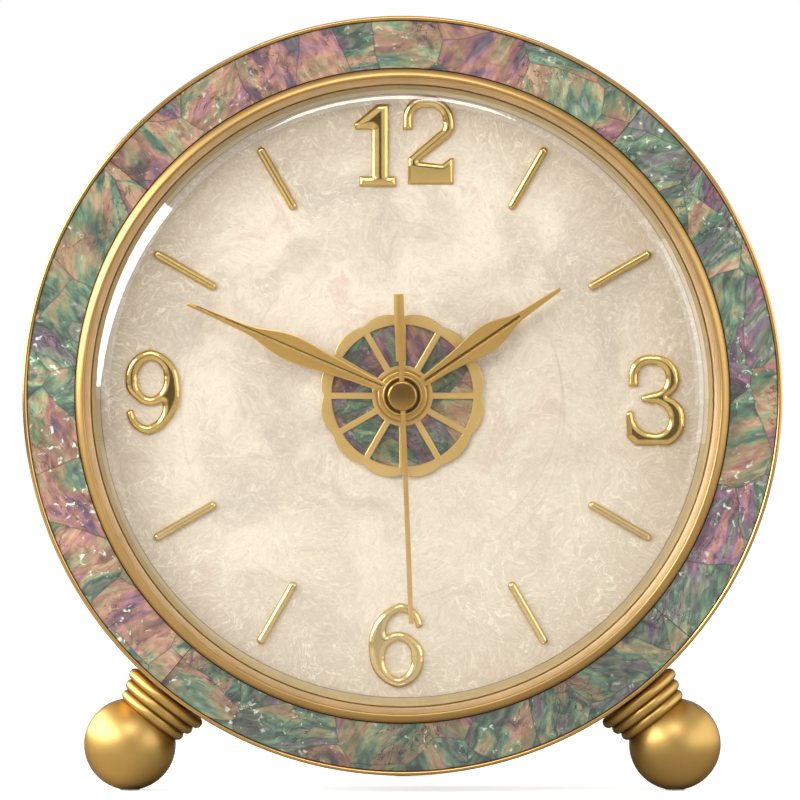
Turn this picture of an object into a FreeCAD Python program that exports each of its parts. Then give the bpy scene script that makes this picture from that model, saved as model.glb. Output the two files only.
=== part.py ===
import FreeCAD, Part
import math
import os

from FreeCAD import Vector

# Round desk clock on three ball feet. All lengths are in millimetres, +Z is up and the dial faces -Y.
# Depth is counted backwards from the front lip of the case. Angles on the dial run clockwise from 12.

# Case
case_radius = 76.0
case_wall = 0.9
case_inner_wall = 1.8
case_depth = 29.0
lip_round = 0.45
rear_round = 0.8
rear_flange_width = 8.2
rear_flange_thickness = 1.2
fit_clearance = 0.05
cut_overrun = 1.0

# Arcs on turned rings are made of this many flats, which keeps large thin rings light
turning_flats = 3

# Shell ring
shell_width = 9.4
shell_recess = 0.6
shell_thickness = 0.8
shell_joint_gap = 0.15
shell_joint_angles = (39.8, 130.0, 220.0, 308.8)

# Cast ring that carries the shell, the bezel and the dial
frame_plate_thickness = 2.2
frame_skirt_thickness = 1.45
frame_skirt_overhang = 0.4

# Bezel and glass
bezel_shell_gap = 0.25
bezel_crest_width = 1.6
bezel_slope_width = 1.4
bezel_crest_height = 0.8
bezel_crest_round = 0.5
bezel_neck_wall = 2.1
bezel_slope_depth = 1.0
bezel_ledge_width = 1.8
bezel_ledge_thickness = 0.8
glass_thickness = 2.0
glass_corner_radius = 4.0
glass_dome_rise = 1.0
glass_proud = 3.3
glass_clearance = 0.1
gasket_thickness = 0.4
gasket_width = 1.6

# Dial
dial_depth = 6.4
dial_thickness = 0.8
backing_thickness = 2.0
rosette_radius = 16.6
rosette_notch_depth = 0.7
rosette_window_inner_radius = 5.9
rosette_rim_width = 2.4
rosette_window_crown = 0.8
rosette_spoke_width = 1.26
rosette_spokes = 12
fret_thickness = 0.5
inlay_thickness = 0.4
inlay_margin = 0.4
marker_height = 1.1
baton_length = 14.4
baton_width = 1.75
baton_margin = 3.0
baton_crown = 0.6
baton_hours = (1, 2, 4, 5, 7, 8, 10, 11)
hour_step = 30
numeral_height = 18.1

# Numeral centres from the dial's centre, as shares of the radius to the batons' middles
twelve_centre_share = (0.006, 1.012)
three_centre_share = (1.008, -0.018)
six_centre_share = (-0.024, -0.994)
nine_centre_share = (-0.996, 0.014)

# Numeral outlines, as shares of the numeral height from the numeral's centre.
# A plain pair is a corner, and a pair of pairs is an arc's middle and end.
one_outline_share = [
    (-0.555, 0.203), (-0.293, 0.421), (-0.169, 0.421), (-0.169, -0.378), (-0.087, -0.378),
    (-0.087, -0.496), (-0.495, -0.496), (-0.495, -0.378), (-0.358, -0.378), (-0.358, 0.137),
    (-0.537, 0.137),
]
two_outline_share = [
    (-0.011, 0.137), (-0.009, 0.276), ((0.057, 0.44), (0.253, 0.502)),
    ((0.473, 0.427), (0.561, 0.238)), ((0.55, 0.128), (0.484, 0.04)), (0.173, -0.217),
    (0.421, -0.246), (0.517, -0.177), (0.552, -0.177), (0.552, -0.475), (0.042, -0.475),
    (0.042, -0.181), (0.382, 0.11), ((0.432, 0.168), (0.431, 0.243)),
    ((0.382, 0.347), (0.253, 0.378)), ((0.133, 0.344), (0.095, 0.243)), (0.095, 0.137),
]
three_outline_share = [
    (-0.296, 0.149), (-0.294, 0.304), ((-0.214, 0.456), (-0.025, 0.505)),
    ((0.189, 0.425), (0.271, 0.249)), ((0.244, 0.122), (0.147, 0.041)),
    ((0.277, -0.045), (0.328, -0.209)), ((0.282, -0.399), (0.147, -0.503)),
    (-0.213, -0.503), (-0.317, -0.414), (-0.326, -0.16), ((-0.282, -0.112), (-0.238, -0.14)),
    ((-0.181, -0.299), (-0.048, -0.358)), ((0.107, -0.32), (0.149, -0.204)),
    ((0.094, -0.086), (-0.036, -0.043)), (-0.129, -0.023), ((-0.156, 0.019), (-0.129, 0.062)),
    (-0.021, 0.09), ((0.09, 0.156), (0.114, 0.255)), ((0.07, 0.357), (-0.039, 0.39)),
    ((-0.147, 0.355), (-0.187, 0.266)), (-0.187, 0.149),
]
six_outline_share = [
    (0.292, 0.221), (0.261, 0.188), (0.214, 0.194), ((0.15, 0.325), (0.057, 0.364)),
    ((-0.051, 0.303), (-0.108, 0.113)), ((0.06, 0.15), (0.194, 0.075)),
    ((0.283, -0.022), (0.304, -0.137)), ((0.234, -0.365), (0.018, -0.476)),
    ((-0.208, -0.347), (-0.303, -0.099)), ((-0.21, 0.298), (0.038, 0.473)),
    ((0.194, 0.409), (0.292, 0.221)),
]
six_hole_share = [
    (0.024, 0.049), ((0.13, -0.013), (0.161, -0.135)), ((0.113, -0.298), (0.02, -0.354)),
    ((-0.088, -0.287), (-0.123, -0.148)), ((-0.075, -0.007), (0.024, 0.049)),
]

# Hands. Each tip stops short of the batons' middles. Shares are of a hand's length or its half width.
hour_hand_angle = 55.9
minute_hand_angle = 293.2
second_hand_angle = 177.8
hour_hand_shortfall = 12.1
minute_hand_shortfall = 3.6
second_hand_shortfall = 4.7
hour_half_width = 2.75
minute_half_width = 2.65
hand_tip_half_width = 0.36
leaf_root_share = 0.44
leaf_neck_share = 0.29
hour_belly_share = 0.53
hour_neck_share = 0.75
minute_belly_share = 0.54
minute_neck_share = 0.72
hand_thickness = 0.35
hour_hub_radius = 5.0
minute_hub_radius = 4.0
minute_hub_height = 0.6
minute_hub_recess_radius = 3.6
minute_hub_recess_depth = 0.3
second_arm_width = 1.0
second_hub_radius = 2.2
second_tail_length = 20.4
second_tail_neck = 6.9
second_tail_width = 2.05
second_cap_radius = 3.0
second_cap_height = 0.8
second_cap_round = 0.3
hand_gap = 0.5

# Fixing at the dial centre
washer_thickness = 0.3
washer_radius = 5.4
nut_radius = 4.6
nut_height = 1.2
bushing_radius = 3.8
bushing_bore_radius = 2.55
hour_pipe_radius = 2.5
hour_pipe_bore_radius = 1.75
minute_tube_radius = 1.7
minute_tube_bore_radius = 0.55
second_arbor_radius = 0.5
arbor_end = 0.1

# Movement housing
movement_corner = 3.0
movement_plate_thickness = 1.2
movement_wall = 1.3
bay_end_wall = 1.8
bay_floor_wall = 1.1
bay_clearance = 0.35

# Going train and motion work: teeth, modules and the gaps between layers. A layer is counted backwards
# from the movement's front face.
addendum_share = 0.75
dedendum_share = 1.2
tooth_root_share = 0.62
tooth_tip_share = 0.26
motion_module = 0.35
cannon_teeth = 10
minute_wheel_teeth = 30
minute_pinion_teeth = 8
hour_wheel_teeth = 32
knob_pinion_teeth = 10
second_wheel_teeth = 40
second_wheel_module = 0.3
intermediate_pinion_teeth = 8
intermediate_wheel_teeth = 48
intermediate_wheel_module = 0.25
rotor_pinion_teeth = 8
second_pinion_teeth = 8
third_wheel_teeth = 60
third_pinion_teeth = 8
centre_wheel_teeth = 64
wheel_thickness = 0.5
motion_wheel_thickness = 0.8
pinion_length = 1.0
centre_hub_length = 0.8
clutch_radius = 0.95
wheel_hub_radius = 1.3
motion_gap = 0.3
train_gap = 0.9
rotor_gap = 0.4
rotor_magnet_thickness = 2.4
rotor_magnet_radius = 2.6
train_arbor_radius = 0.4
pivot_clearance = 0.05
pivot_engagement = 0.6
minute_post_radius = 0.5
minute_wheel_direction = 150.0
third_wheel_direction = -20.0
intermediate_wheel_direction = 60.0
rotor_direction = 45.0
knob_direction = 170.0
bridge_thickness = 0.8
bridge_post_radius = 1.5
bridge_pin_radius = 0.7
bridge_margin = 2.0
bridge_corner = 1.9

# Places of the bridge's posts, as shares of the distance between the train's centres
bridge_post_shares = ((2.056, 0.486), (-1.25, -0.694), (-0.903, 1.667))

# Motor, board and contacts
stator_thickness = 0.8
stator_half_span = 13.0
stator_leg_width = 4.0
stator_limb_half_height = 4.0
stator_bore_radius = 3.0
stator_headroom = 3.7
coil_drop = 2.5
core_half_height = 1.0
core_thickness = 1.0
bobbin_flange_radius = 3.4
bobbin_flange_thickness = 0.8
bobbin_tube_radius = 1.8
winding_radius = 3.0
coil_margin = 0.3
coil_limb_gap = 1.8
stator_post_radius = 1.5
board_gap = 0.2
board_thickness = 0.8
board_side_gap = 0.9
board_headroom = 2.7
board_lift = 0.9
board_width = 10.3
board_arm_length = 10.3
board_arm_height = 7.0
board_post_radius = 1.2
crystal_radius = 1.0
crystal_length = 6.0
crystal_gap = 0.2

# Places of the board's posts and of the crystal, as shares of the movement's half width
board_post_shares = ((-0.732, 0.732), (-0.732, -0.179))
crystal_place_share = (-0.66, 0.214)
contact_thickness = 0.4
contact_half_height = 6.0
contact_tab_width = 2.0
contact_gap = 0.1
contact_foot_depth = 2.0

# Battery and setting knob
battery_radius = 7.25
battery_length = 50.5
battery_nub_radius = 2.75
battery_nub_length = 1.3
battery_edge_round = 0.5
battery_recess = 0.5
battery_front_gap = 0.8
battery_contact_room = 1.9
knob_stem_radius = 0.9
knob_gap = 0.3
knob_thickness = 2.1
knob_serrations = 18
knob_module = 0.45

# Back cover
cover_inset = 3.0
cover_thickness = 1.0
cover_edge_round = 0.4
cover_window_clearance = 1.2
cover_window_corner = 4.0
cover_screw_margin = 3.5
cover_screws = 6
screw_radius = 1.0
screw_head_radius = 1.9
screw_head_height = 0.8
screw_clearance = 0.15

# Feet. Along its axis a foot is measured from the centre of its ball.
foot_ball_radius = 9.27
foot_splay = 38.05
foot_depth = 10.5
foot_reach = 13.1
collar_bead_radii = (7.56, 8.27, 9.07)
collar_groove_depth = 0.9
collar_neck_radius = 6.66
collar_bead_thickness = 2.1
collar_spigot_radius = 4.0
foot_pad_radius = 2.0
foot_pad_thickness = 0.8
stud_radius = 1.5
stud_engagement = 7.0
stud_clearance = 0.08
foot_nut_radius = 2.75
foot_nut_height = 2.0
foot_nut_seat_gap = 0.1

# Rear leg
rear_foot_depth = 60.0
rear_leg_elevation = 38.0
rear_boss_radius = 6.0
rear_boss_rise = 1.0
rear_leg_waist_radius = 4.4
rear_leg_top_radius = 5.4
rear_stud_in_boss = 4.5

def polar(distance, direction, start=(0, 0)):
    """A place on the dial plane at a distance and a direction, in degrees anticlockwise from +X."""
    turn = math.radians(direction)
    return start[0] + distance * math.cos(turn), start[1] + distance * math.sin(turn)


def scaled(share, size):
    """A place given as shares of a size."""
    return share[0] * size, share[1] * size


# Radii from the case inwards
shell_outer_radius = case_radius - case_wall - fit_clearance
shell_inner_radius = shell_outer_radius - shell_width
bezel_outer_radius = shell_inner_radius - bezel_shell_gap
bezel_crest_inner_radius = bezel_outer_radius - bezel_crest_width
bezel_bore_radius = bezel_crest_inner_radius - bezel_slope_width
bezel_ledge_radius = bezel_bore_radius - bezel_ledge_width
bezel_neck_radius = bezel_bore_radius + bezel_neck_wall
glass_radius = bezel_bore_radius - glass_clearance
frame_bore_radius = bezel_neck_radius + fit_clearance
dial_radius = frame_bore_radius - fit_clearance
baton_centre_radius = bezel_ledge_radius - baton_margin - baton_length / 2
hour_hand_length = baton_centre_radius - hour_hand_shortfall
minute_hand_length = baton_centre_radius - minute_hand_shortfall
second_hand_length = baton_centre_radius - second_hand_shortfall
centre_hole = bushing_radius + fit_clearance
case_inner_radius = case_radius - case_inner_wall
rear_flange_inner_radius = case_inner_radius - rear_flange_width
cover_radius = case_radius - cover_inset
cover_screw_radius = cover_radius - cover_screw_margin

# Feet
foot_axis_distance = case_radius + foot_reach
case_centre_z = foot_ball_radius + foot_axis_distance * math.cos(math.radians(foot_splay))
overall_depth = glass_proud + rear_foot_depth + foot_ball_radius
lip_y = glass_proud - overall_depth / 2
back = Vector(0, 1, 0)
tiny_share = 1e-6

# Depths behind the lip, from the shell back to the movement and forward to the hands
shell_bed_depth = shell_recess + shell_thickness
shoulder_depth = shell_bed_depth + frame_plate_thickness
ledge_depth = dial_depth - bezel_ledge_thickness
backing_depth = dial_depth + dial_thickness
movement_front = backing_depth + backing_thickness
fret_depth = dial_depth - inlay_thickness - fret_thickness
washer_depth = fret_depth - washer_thickness
nut_depth = washer_depth - nut_height
hour_hand_depth = nut_depth - hand_gap - hand_thickness
minute_hand_depth = hour_hand_depth - hand_gap - hand_thickness
second_hand_depth = minute_hand_depth - minute_hub_height - hand_gap

# Layers of the movement
hour_wheel_layer = movement_plate_thickness + motion_gap
minute_pinion_layer = hour_wheel_layer - arbor_end
minute_wheel_layer = hour_wheel_layer + motion_wheel_thickness + motion_gap
centre_wheel_layer = minute_wheel_layer + pinion_length + motion_gap
third_wheel_layer = centre_wheel_layer + wheel_thickness + train_gap
second_wheel_layer = third_wheel_layer + wheel_thickness + train_gap
intermediate_wheel_layer = second_wheel_layer + wheel_thickness + train_gap
rotor_magnet_layer = intermediate_wheel_layer + wheel_thickness + rotor_gap
stator_layer = rotor_magnet_layer + (rotor_magnet_thickness - stator_thickness) / 2
bridge_layer = rotor_magnet_layer + rotor_magnet_thickness + rotor_gap
board_layer = bridge_layer + bridge_thickness + board_gap
pivot_start = movement_plate_thickness - pivot_engagement
pivot_end = bridge_layer + bridge_thickness
board_stack = board_layer + board_thickness + crystal_radius * 2 + crystal_gap
battery_stack = movement_plate_thickness + battery_front_gap + battery_radius * 2 + battery_recess
movement_depth = max(board_stack + movement_plate_thickness, battery_stack)
movement_rear = movement_front + movement_depth
room_front = movement_front + movement_plate_thickness
room_rear = movement_rear - movement_plate_thickness

# Centres of the wheels
centre_distance = motion_module * (cannon_teeth + minute_wheel_teeth) / 2
knob_distance = motion_module * (minute_wheel_teeth + knob_pinion_teeth) / 2
train_distance = second_wheel_module * (second_wheel_teeth + intermediate_pinion_teeth) / 2
rotor_distance = intermediate_wheel_module * (intermediate_wheel_teeth + rotor_pinion_teeth) / 2
third_module = 2 * train_distance / (second_pinion_teeth + third_wheel_teeth)
centre_module = 2 * train_distance / (third_pinion_teeth + centre_wheel_teeth)
minute_wheel_place = polar(centre_distance, minute_wheel_direction)
knob_place = polar(knob_distance, knob_direction, minute_wheel_place)
third_wheel_place = polar(train_distance, third_wheel_direction)
intermediate_place = polar(train_distance, intermediate_wheel_direction)
rotor_place = polar(rotor_distance, rotor_direction, intermediate_place)
bridge_posts = [scaled(share, train_distance) for share in bridge_post_shares]

# The movement is as wide as the battery or the motor needs, whichever is more
motor_top = rotor_place[1] + stator_limb_half_height + coil_limb_gap + bobbin_flange_radius + coil_drop
motor_half_width = motor_top + stator_headroom + movement_wall
movement_half_width = max((battery_length + battery_contact_room) / 2 + bay_end_wall, motor_half_width)
movement_inner_half = movement_half_width - movement_wall

# Battery bay, board and motor within the movement
bay_half_length = movement_half_width - bay_end_wall
contact_bulge = (bay_half_length - contact_thickness - contact_gap) * 2 - battery_length
bay_bottom = bay_floor_wall - movement_half_width
bay_top = bay_bottom + (battery_radius + bay_clearance) * 2
battery_height = (bay_top + bay_bottom) / 2
battery_depth = movement_rear - battery_recess - battery_radius
board_left = board_side_gap - movement_inner_half
board_right = board_left + board_width
board_arm_right = board_right + board_arm_length
board_top = movement_inner_half - board_headroom
board_arm_bottom = board_top - board_arm_height
board_bottom = bay_top + movement_wall + board_lift
board_posts = [scaled(share, movement_half_width) for share in board_post_shares]
crystal_place = scaled(crystal_place_share, movement_half_width)
stator_top = movement_inner_half - stator_headroom
coil_axis_height = stator_top - coil_drop
core_front = movement_front + stator_layer + stator_thickness
coil_depth = core_front + core_thickness / 2


# Shared shapes
def at(x, height, depth):
    """A point by its place on the dial plane, from the dial centre, and its depth behind the lip."""
    return Vector(x, lip_y + depth, case_centre_z + height)


def closed_wire(points, place, flats=0):
    """A closed wire through corners and three-point arcs, which flats makes of straight pieces."""
    here = first = place(*points[0])
    edges = []
    for step in points[1:]:
        if isinstance(step[0], tuple):
            end = place(*step[1])
            arc = Part.Arc(here, place(*step[0]), end)
            if flats:
                edges.extend(Part.makePolygon(arc.discretize(flats + 1)).Edges)
            else:
                edges.append(arc.toShape())
        else:
            end = place(*step)
            edges.append(Part.makeLine(here, end))
        here = end
    if not here.isEqual(first, case_radius * tiny_share):
        edges.append(Part.makeLine(here, first))
    return Part.Wire(edges)


def turned(profile, sweep=360):
    """A solid turned about the clock's axis, from a profile of (radius, depth) with its arcs as flats."""
    wire = closed_wire(profile, lambda radius, depth: at(radius, 0, depth), turning_flats)
    return Part.Face(wire).revolve(at(0, 0, 0), back, sweep)


def rod(radius, front, rear, x=0, height=0):
    """A round bar along the depth."""
    return Part.makeCylinder(radius, rear - front, at(x, height, front), back)


def block(left, right, bottom, top, front, rear):
    """A rectangular block."""
    return Part.makeBox(right - left, rear - front, top - bottom, at(left, bottom, front))


def rounded_block(left, right, bottom, top, front, rear, corner):
    """A block whose four edges along the depth are rounded."""
    body = block(left, right, bottom, top, front, rear)
    edges = [e for e in body.Edges if abs((e.Vertexes[1].Point - e.Vertexes[0].Point).y) > corner * tiny_share]
    return body.makeFillet(corner, edges)


def plate(points, front, thickness, x=0, height=0, scale=1, holes=()):
    """A flat plate of an outline, with holes given as outlines in the same measure."""

    def place(across, up):
        return at(x + across * scale, height + up * scale, front)

    wires = [closed_wire(outline, place) for outline in (points, *holes)]
    return Part.Face(wires, "Part::FaceMakerBullseye").extrude(back * thickness)


def clockwise(shape, angle):
    """The shape turned about the dial centre, clockwise as seen from the front."""
    turned_shape = shape.copy()
    turned_shape.rotate(at(0, 0, 0), back, angle)
    return turned_shape


def tooth_outline(teeth, module, phase):
    """The straight-sided teeth of a wheel or pinion. A tooth's middle lies at phase, in degrees."""
    pitch_radius = teeth * module / 2
    root = pitch_radius - module * dedendum_share
    tip = pitch_radius + module * addendum_share
    step = 360 / teeth
    corners = []
    for tooth in range(teeth):
        middle = phase + tooth * step
        corners.append(polar(root, middle - step * tooth_root_share / 2))
        corners.append(polar(tip, middle - step * tooth_tip_share / 2))
        corners.append(polar(tip, middle + step * tooth_tip_share / 2))
        corners.append(polar(root, middle + step * tooth_root_share / 2))
    return corners


def toothed(teeth, module, phase, layer, thickness, place=(0, 0)):
    """A toothed disc, its front face a layer behind the movement's front face."""
    return plate(tooth_outline(teeth, module, phase), movement_front + layer, thickness, *place)


def gap_phase(teeth, direction):
    """The phase that puts a tooth gap in a direction."""
    return direction + 180 / teeth


def layered_rod(radius, start_layer, end_layer, place=(0, 0)):
    """A round bar between two layers of the movement."""
    return rod(radius, movement_front + start_layer, movement_front + end_layer, *place)


def joined(*shapes):
    """One solid from shapes that share faces or volume."""
    return shapes[0].multiFuse(list(shapes[1:])).removeSplitter()


nodes = {}


# Case drum: a spun cup open at both ends, with a rolled front lip and a turned-in rear flange
def make_case_drum():
    inner_lip_radius = case_radius - case_wall
    flange_front = case_depth - rear_flange_thickness
    drum = turned([
        (inner_lip_radius, shoulder_depth),
        (inner_lip_radius, lip_round),
        ((case_radius - case_wall / 2, 0), (case_radius, lip_round)),
        (case_radius, case_depth - rear_round),
        (case_radius - rear_round, case_depth),
        (rear_flange_inner_radius, case_depth),
        (rear_flange_inner_radius, flange_front),
        (case_inner_radius, flange_front),
        (case_inner_radius, shoulder_depth),
    ])
    cuts = [foot_bar(side, stud_radius + stud_clearance, case_inner_radius - cut_overrun,
                     case_radius + cut_overrun) for side in (-1, 1)]
    for x, height in screw_places():
        cuts.append(rod(screw_radius + fit_clearance, flange_front - cut_overrun,
                        case_depth + cut_overrun, x, height))
    return drum.cut(cuts)


def foot_direction(side):
    """Outwards along a front foot's axis."""
    splay = math.radians(foot_splay)
    return Vector(side * math.sin(splay), 0, -math.cos(splay))


def foot_bar(side, radius, near, far):
    """A round bar on a front foot's axis, between two distances from the case centre."""
    outwards = foot_direction(side)
    return Part.makeCylinder(radius, far - near, at(0, 0, foot_depth) + outwards * near, outwards)


def screw_places():
    """The places of the cover screws, evenly round the rear flange."""
    step = 360 / cover_screws
    return [polar(cover_screw_radius, step * number) for number in range(cover_screws)]


# Front frame: a cast ring with the shell's bed in front and a skirt round the dial behind
def make_front_frame():
    skirt_rear = movement_front + frame_skirt_overhang
    return turned([
        (frame_bore_radius, shell_bed_depth),
        (shell_outer_radius, shell_bed_depth),
        (shell_outer_radius, shoulder_depth),
        (frame_bore_radius + frame_skirt_thickness, shoulder_depth),
        (frame_bore_radius + frame_skirt_thickness, skirt_rear),
        (frame_bore_radius, skirt_rear),
    ])


# Shell inlays: four quarter rings with fine joints between them
def make_shell_inlay(number):
    start = shell_joint_angles[number]
    end = shell_joint_angles[(number + 1) % len(shell_joint_angles)]
    mean_radius = (shell_inner_radius + shell_outer_radius) / 2
    joint = math.degrees(shell_joint_gap / mean_radius)
    quarter = turned([
        (shell_inner_radius, shell_recess),
        (shell_outer_radius - fit_clearance, shell_recess),
        (shell_outer_radius - fit_clearance, shell_bed_depth),
        (shell_inner_radius, shell_bed_depth),
    ], sweep=(end - start) % 360 - joint)
    return clockwise(quarter, start - 90 + joint / 2)


# Inner bezel ring: rounded crest, sloped inner wall and a ledge under the glass
def make_inner_bezel_ring():
    crest_middle = (bezel_outer_radius + bezel_crest_inner_radius) / 2
    return turned([
        (bezel_outer_radius, shell_bed_depth),
        (bezel_outer_radius, bezel_crest_round - bezel_crest_height),
        ((crest_middle, -bezel_crest_height), (bezel_crest_inner_radius, bezel_crest_round - bezel_crest_height)),
        (bezel_bore_radius, bezel_slope_depth),
        (bezel_bore_radius, ledge_depth),
        (bezel_ledge_radius, ledge_depth),
        (bezel_ledge_radius, dial_depth),
        (bezel_neck_radius, dial_depth),
        (bezel_neck_radius, shell_bed_depth),
    ])


# Glass: a box dome with a steep rounded edge, standing on its gasket
def make_glass_lens():
    foot = ledge_depth - gasket_thickness
    crown_radius = glass_radius - glass_corner_radius
    rim_front = glass_dome_rise - glass_proud
    corner_share = 1 - math.sqrt(0.5)
    inner_corner = glass_corner_radius - glass_thickness
    inner_radius = glass_radius - glass_thickness
    sag_share = 0.75
    return turned([
        (0, -glass_proud),
        ((crown_radius / 2, rim_front - glass_dome_rise * sag_share), (crown_radius, rim_front)),
        ((glass_radius - glass_corner_radius * corner_share, rim_front + glass_corner_radius * corner_share),
         (glass_radius, rim_front + glass_corner_radius)),
        (glass_radius, foot),
        (inner_radius, foot),
        (inner_radius, rim_front + glass_corner_radius),
        ((inner_radius - inner_corner * corner_share,
          rim_front + glass_thickness + inner_corner * corner_share),
         (crown_radius, rim_front + glass_thickness)),
        ((crown_radius / 2, rim_front + glass_thickness - glass_dome_rise * sag_share),
         (0, glass_thickness - glass_proud)),
    ])


def make_lens_gasket():
    return turned([
        (glass_radius - gasket_width, ledge_depth - gasket_thickness),
        (glass_radius, ledge_depth - gasket_thickness),
        (glass_radius, ledge_depth),
        (glass_radius - gasket_width, ledge_depth),
    ])


def disc(radius, bore, front, thickness):
    """A flat disc with a hole, on the clock's axis."""
    return turned([(bore, front), (radius, front), (radius, front + thickness), (bore, front + thickness)])


# Rosette: scalloped fret with twelve windows over a shell inlay
def make_rosette_fret():
    step = 360 / rosette_spokes
    notch_radius = rosette_radius - rosette_notch_depth
    outline = [polar(notch_radius, 90)]
    for spoke in range(rosette_spokes):
        outline.append((polar(rosette_radius, 90 + step * (spoke + 0.5)),
                        polar(notch_radius, 90 + step * (spoke + 1))))
    return plate(outline, fret_depth, fret_thickness,
                 holes=[window_outline(step * spoke) for spoke in range(rosette_spokes)]).cut(
        rod(bushing_radius + fit_clearance, fret_depth - cut_overrun, fret_depth + fret_thickness + cut_overrun))


def window_outline(start):
    """One window between two spokes, crowned at its outer end."""
    step = 360 / rosette_spokes
    outer = rosette_radius - rosette_rim_width
    shoulder = outer - rosette_window_crown
    inner_half = math.degrees(math.asin(rosette_spoke_width / 2 / rosette_window_inner_radius))
    outer_half = math.degrees(math.asin(rosette_spoke_width / 2 / shoulder))
    middle = start + step / 2
    return [
        polar(rosette_window_inner_radius, start + inner_half),
        polar(shoulder, start + outer_half),
        (polar(outer, middle), polar(shoulder, start + step - outer_half)),
        polar(rosette_window_inner_radius, start + step - inner_half),
        (polar(rosette_window_inner_radius, middle), polar(rosette_window_inner_radius, start + inner_half)),
    ]


# Applied numerals and batons
def numeral(outline, centre_share, holes=(), turn=1):
    """A moulded numeral standing on the dial. A turn of -1 gives it upside down."""
    centre = scaled(centre_share, baton_centre_radius)
    return plate(outline, dial_depth - marker_height, marker_height, *centre,
                 scale=numeral_height * turn, holes=holes)


def make_baton(hour):
    """A half-round bar with rounded ends, on its hour."""
    half = baton_width / 2
    inner = baton_centre_radius - baton_length / 2 + half
    outer = baton_centre_radius + baton_length / 2 - half
    outline = [(-half, inner), (-half, outer), ((0, outer + half), (half, outer)), (half, inner),
               ((0, inner - half), (-half, inner))]
    front = dial_depth - marker_height
    section = [(-half, dial_depth), (-half, front + baton_crown), ((0, front), (half, front + baton_crown)),
               (half, dial_depth)]
    wire = closed_wire(section, lambda x, depth: at(x, inner - half, depth))
    bar = Part.Face(wire).extrude(Vector(0, 0, baton_length))
    return clockwise(plate(outline, front, marker_height).common(bar), hour_step * hour)


# Hands
def leaf(length, half_width, belly_share, neck_share, hub_radius):
    """Half of a leaf hand's outline, mirrored: narrow root, widest at the belly, thin tip."""
    right = [
        (half_width * leaf_root_share, hub_radius / 2),
        (half_width, length * belly_share),
        (half_width * leaf_neck_share, length * neck_share),
        (hand_tip_half_width, length),
    ]
    return right + [(-x, up) for x, up in reversed(right)]


def make_hour_hand():
    blade = plate(leaf(hour_hand_length, hour_half_width, hour_belly_share, hour_neck_share, hour_hub_radius),
                  hour_hand_depth, hand_thickness)
    hub = rod(hour_hub_radius, hour_hand_depth, hour_hand_depth + hand_thickness)
    bore = rod(hour_pipe_radius, hour_hand_depth - cut_overrun, hour_hand_depth + cut_overrun)
    return clockwise(joined(blade, hub).cut(bore), hour_hand_angle)


def make_minute_hand():
    blade = plate(leaf(minute_hand_length, minute_half_width, minute_belly_share, minute_neck_share,
                       minute_hub_radius), minute_hand_depth, hand_thickness)
    hub_front = minute_hand_depth + hand_thickness - minute_hub_height
    hub = rod(minute_hub_radius, hub_front, minute_hand_depth + hand_thickness)
    recess = rod(minute_hub_recess_radius, hub_front - cut_overrun, hub_front + minute_hub_recess_depth)
    bore = rod(minute_tube_radius, hub_front - cut_overrun, minute_hand_depth + cut_overrun)
    return clockwise(joined(blade, hub).cut([recess, bore]), minute_hand_angle)


def make_second_hand():
    arm = second_arm_width / 2
    tail = second_tail_width / 2
    outline = [
        (arm, 0), (arm, second_hand_length), (-arm, second_hand_length), (-arm, -second_tail_neck),
        (-tail, -second_tail_neck), (-tail, -second_tail_length), (tail, -second_tail_length),
        (tail, -second_tail_neck), (arm, -second_tail_neck),
    ]
    blade = plate(outline, second_hand_depth, hand_thickness)
    hub = rod(second_hub_radius, second_hand_depth, second_hand_depth + hand_thickness)
    bore = rod(second_arbor_radius, second_hand_depth - cut_overrun, second_hand_depth + cut_overrun)
    return clockwise(joined(blade, hub).cut(bore), second_hand_angle)


def make_second_cap():
    front = second_hand_depth - second_cap_height
    return turned([
        (0, front), (second_cap_radius - second_cap_round, front),
        (second_cap_radius, front + second_cap_round), (second_cap_radius, second_hand_depth),
        (0, second_hand_depth),
    ])


# Movement housing
def make_movement_front_case():
    rear = room_front
    shell = rounded_block(-movement_half_width, movement_half_width, -movement_half_width,
                          movement_half_width, movement_front, rear, movement_corner)
    bushing = rod(bushing_radius, nut_depth - arbor_end, movement_front + cut_overrun)
    posts = [layered_rod(minute_post_radius, 0, minute_wheel_layer + motion_wheel_thickness + arbor_end,
                         minute_wheel_place)]
    for place in bridge_posts:
        posts.append(layered_rod(bridge_post_radius, 0, bridge_layer, place))
        posts.append(layered_rod(bridge_pin_radius, 0, bridge_layer + bridge_thickness, place))
    for side in (-1, 1):
        place = (stator_leg_x(side), stator_top - stator_post_radius)
        posts.append(layered_rod(stator_post_radius, 0, stator_layer, place))
    for place in board_posts:
        posts.append(layered_rod(board_post_radius, 0, board_layer, place))
    holes = [rod(bushing_bore_radius, nut_depth - cut_overrun, rear + cut_overrun)]
    for place in (third_wheel_place, intermediate_place, rotor_place):
        holes.append(layered_rod(train_arbor_radius + pivot_clearance,
                                 movement_plate_thickness - pivot_engagement - arbor_end,
                                 movement_plate_thickness + cut_overrun, place))
    holes.append(layered_rod(knob_stem_radius + pivot_clearance,
                             movement_plate_thickness - pivot_engagement - arbor_end,
                             movement_plate_thickness + cut_overrun, knob_place))
    return joined(shell, bushing, *posts).cut(holes)


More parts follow.
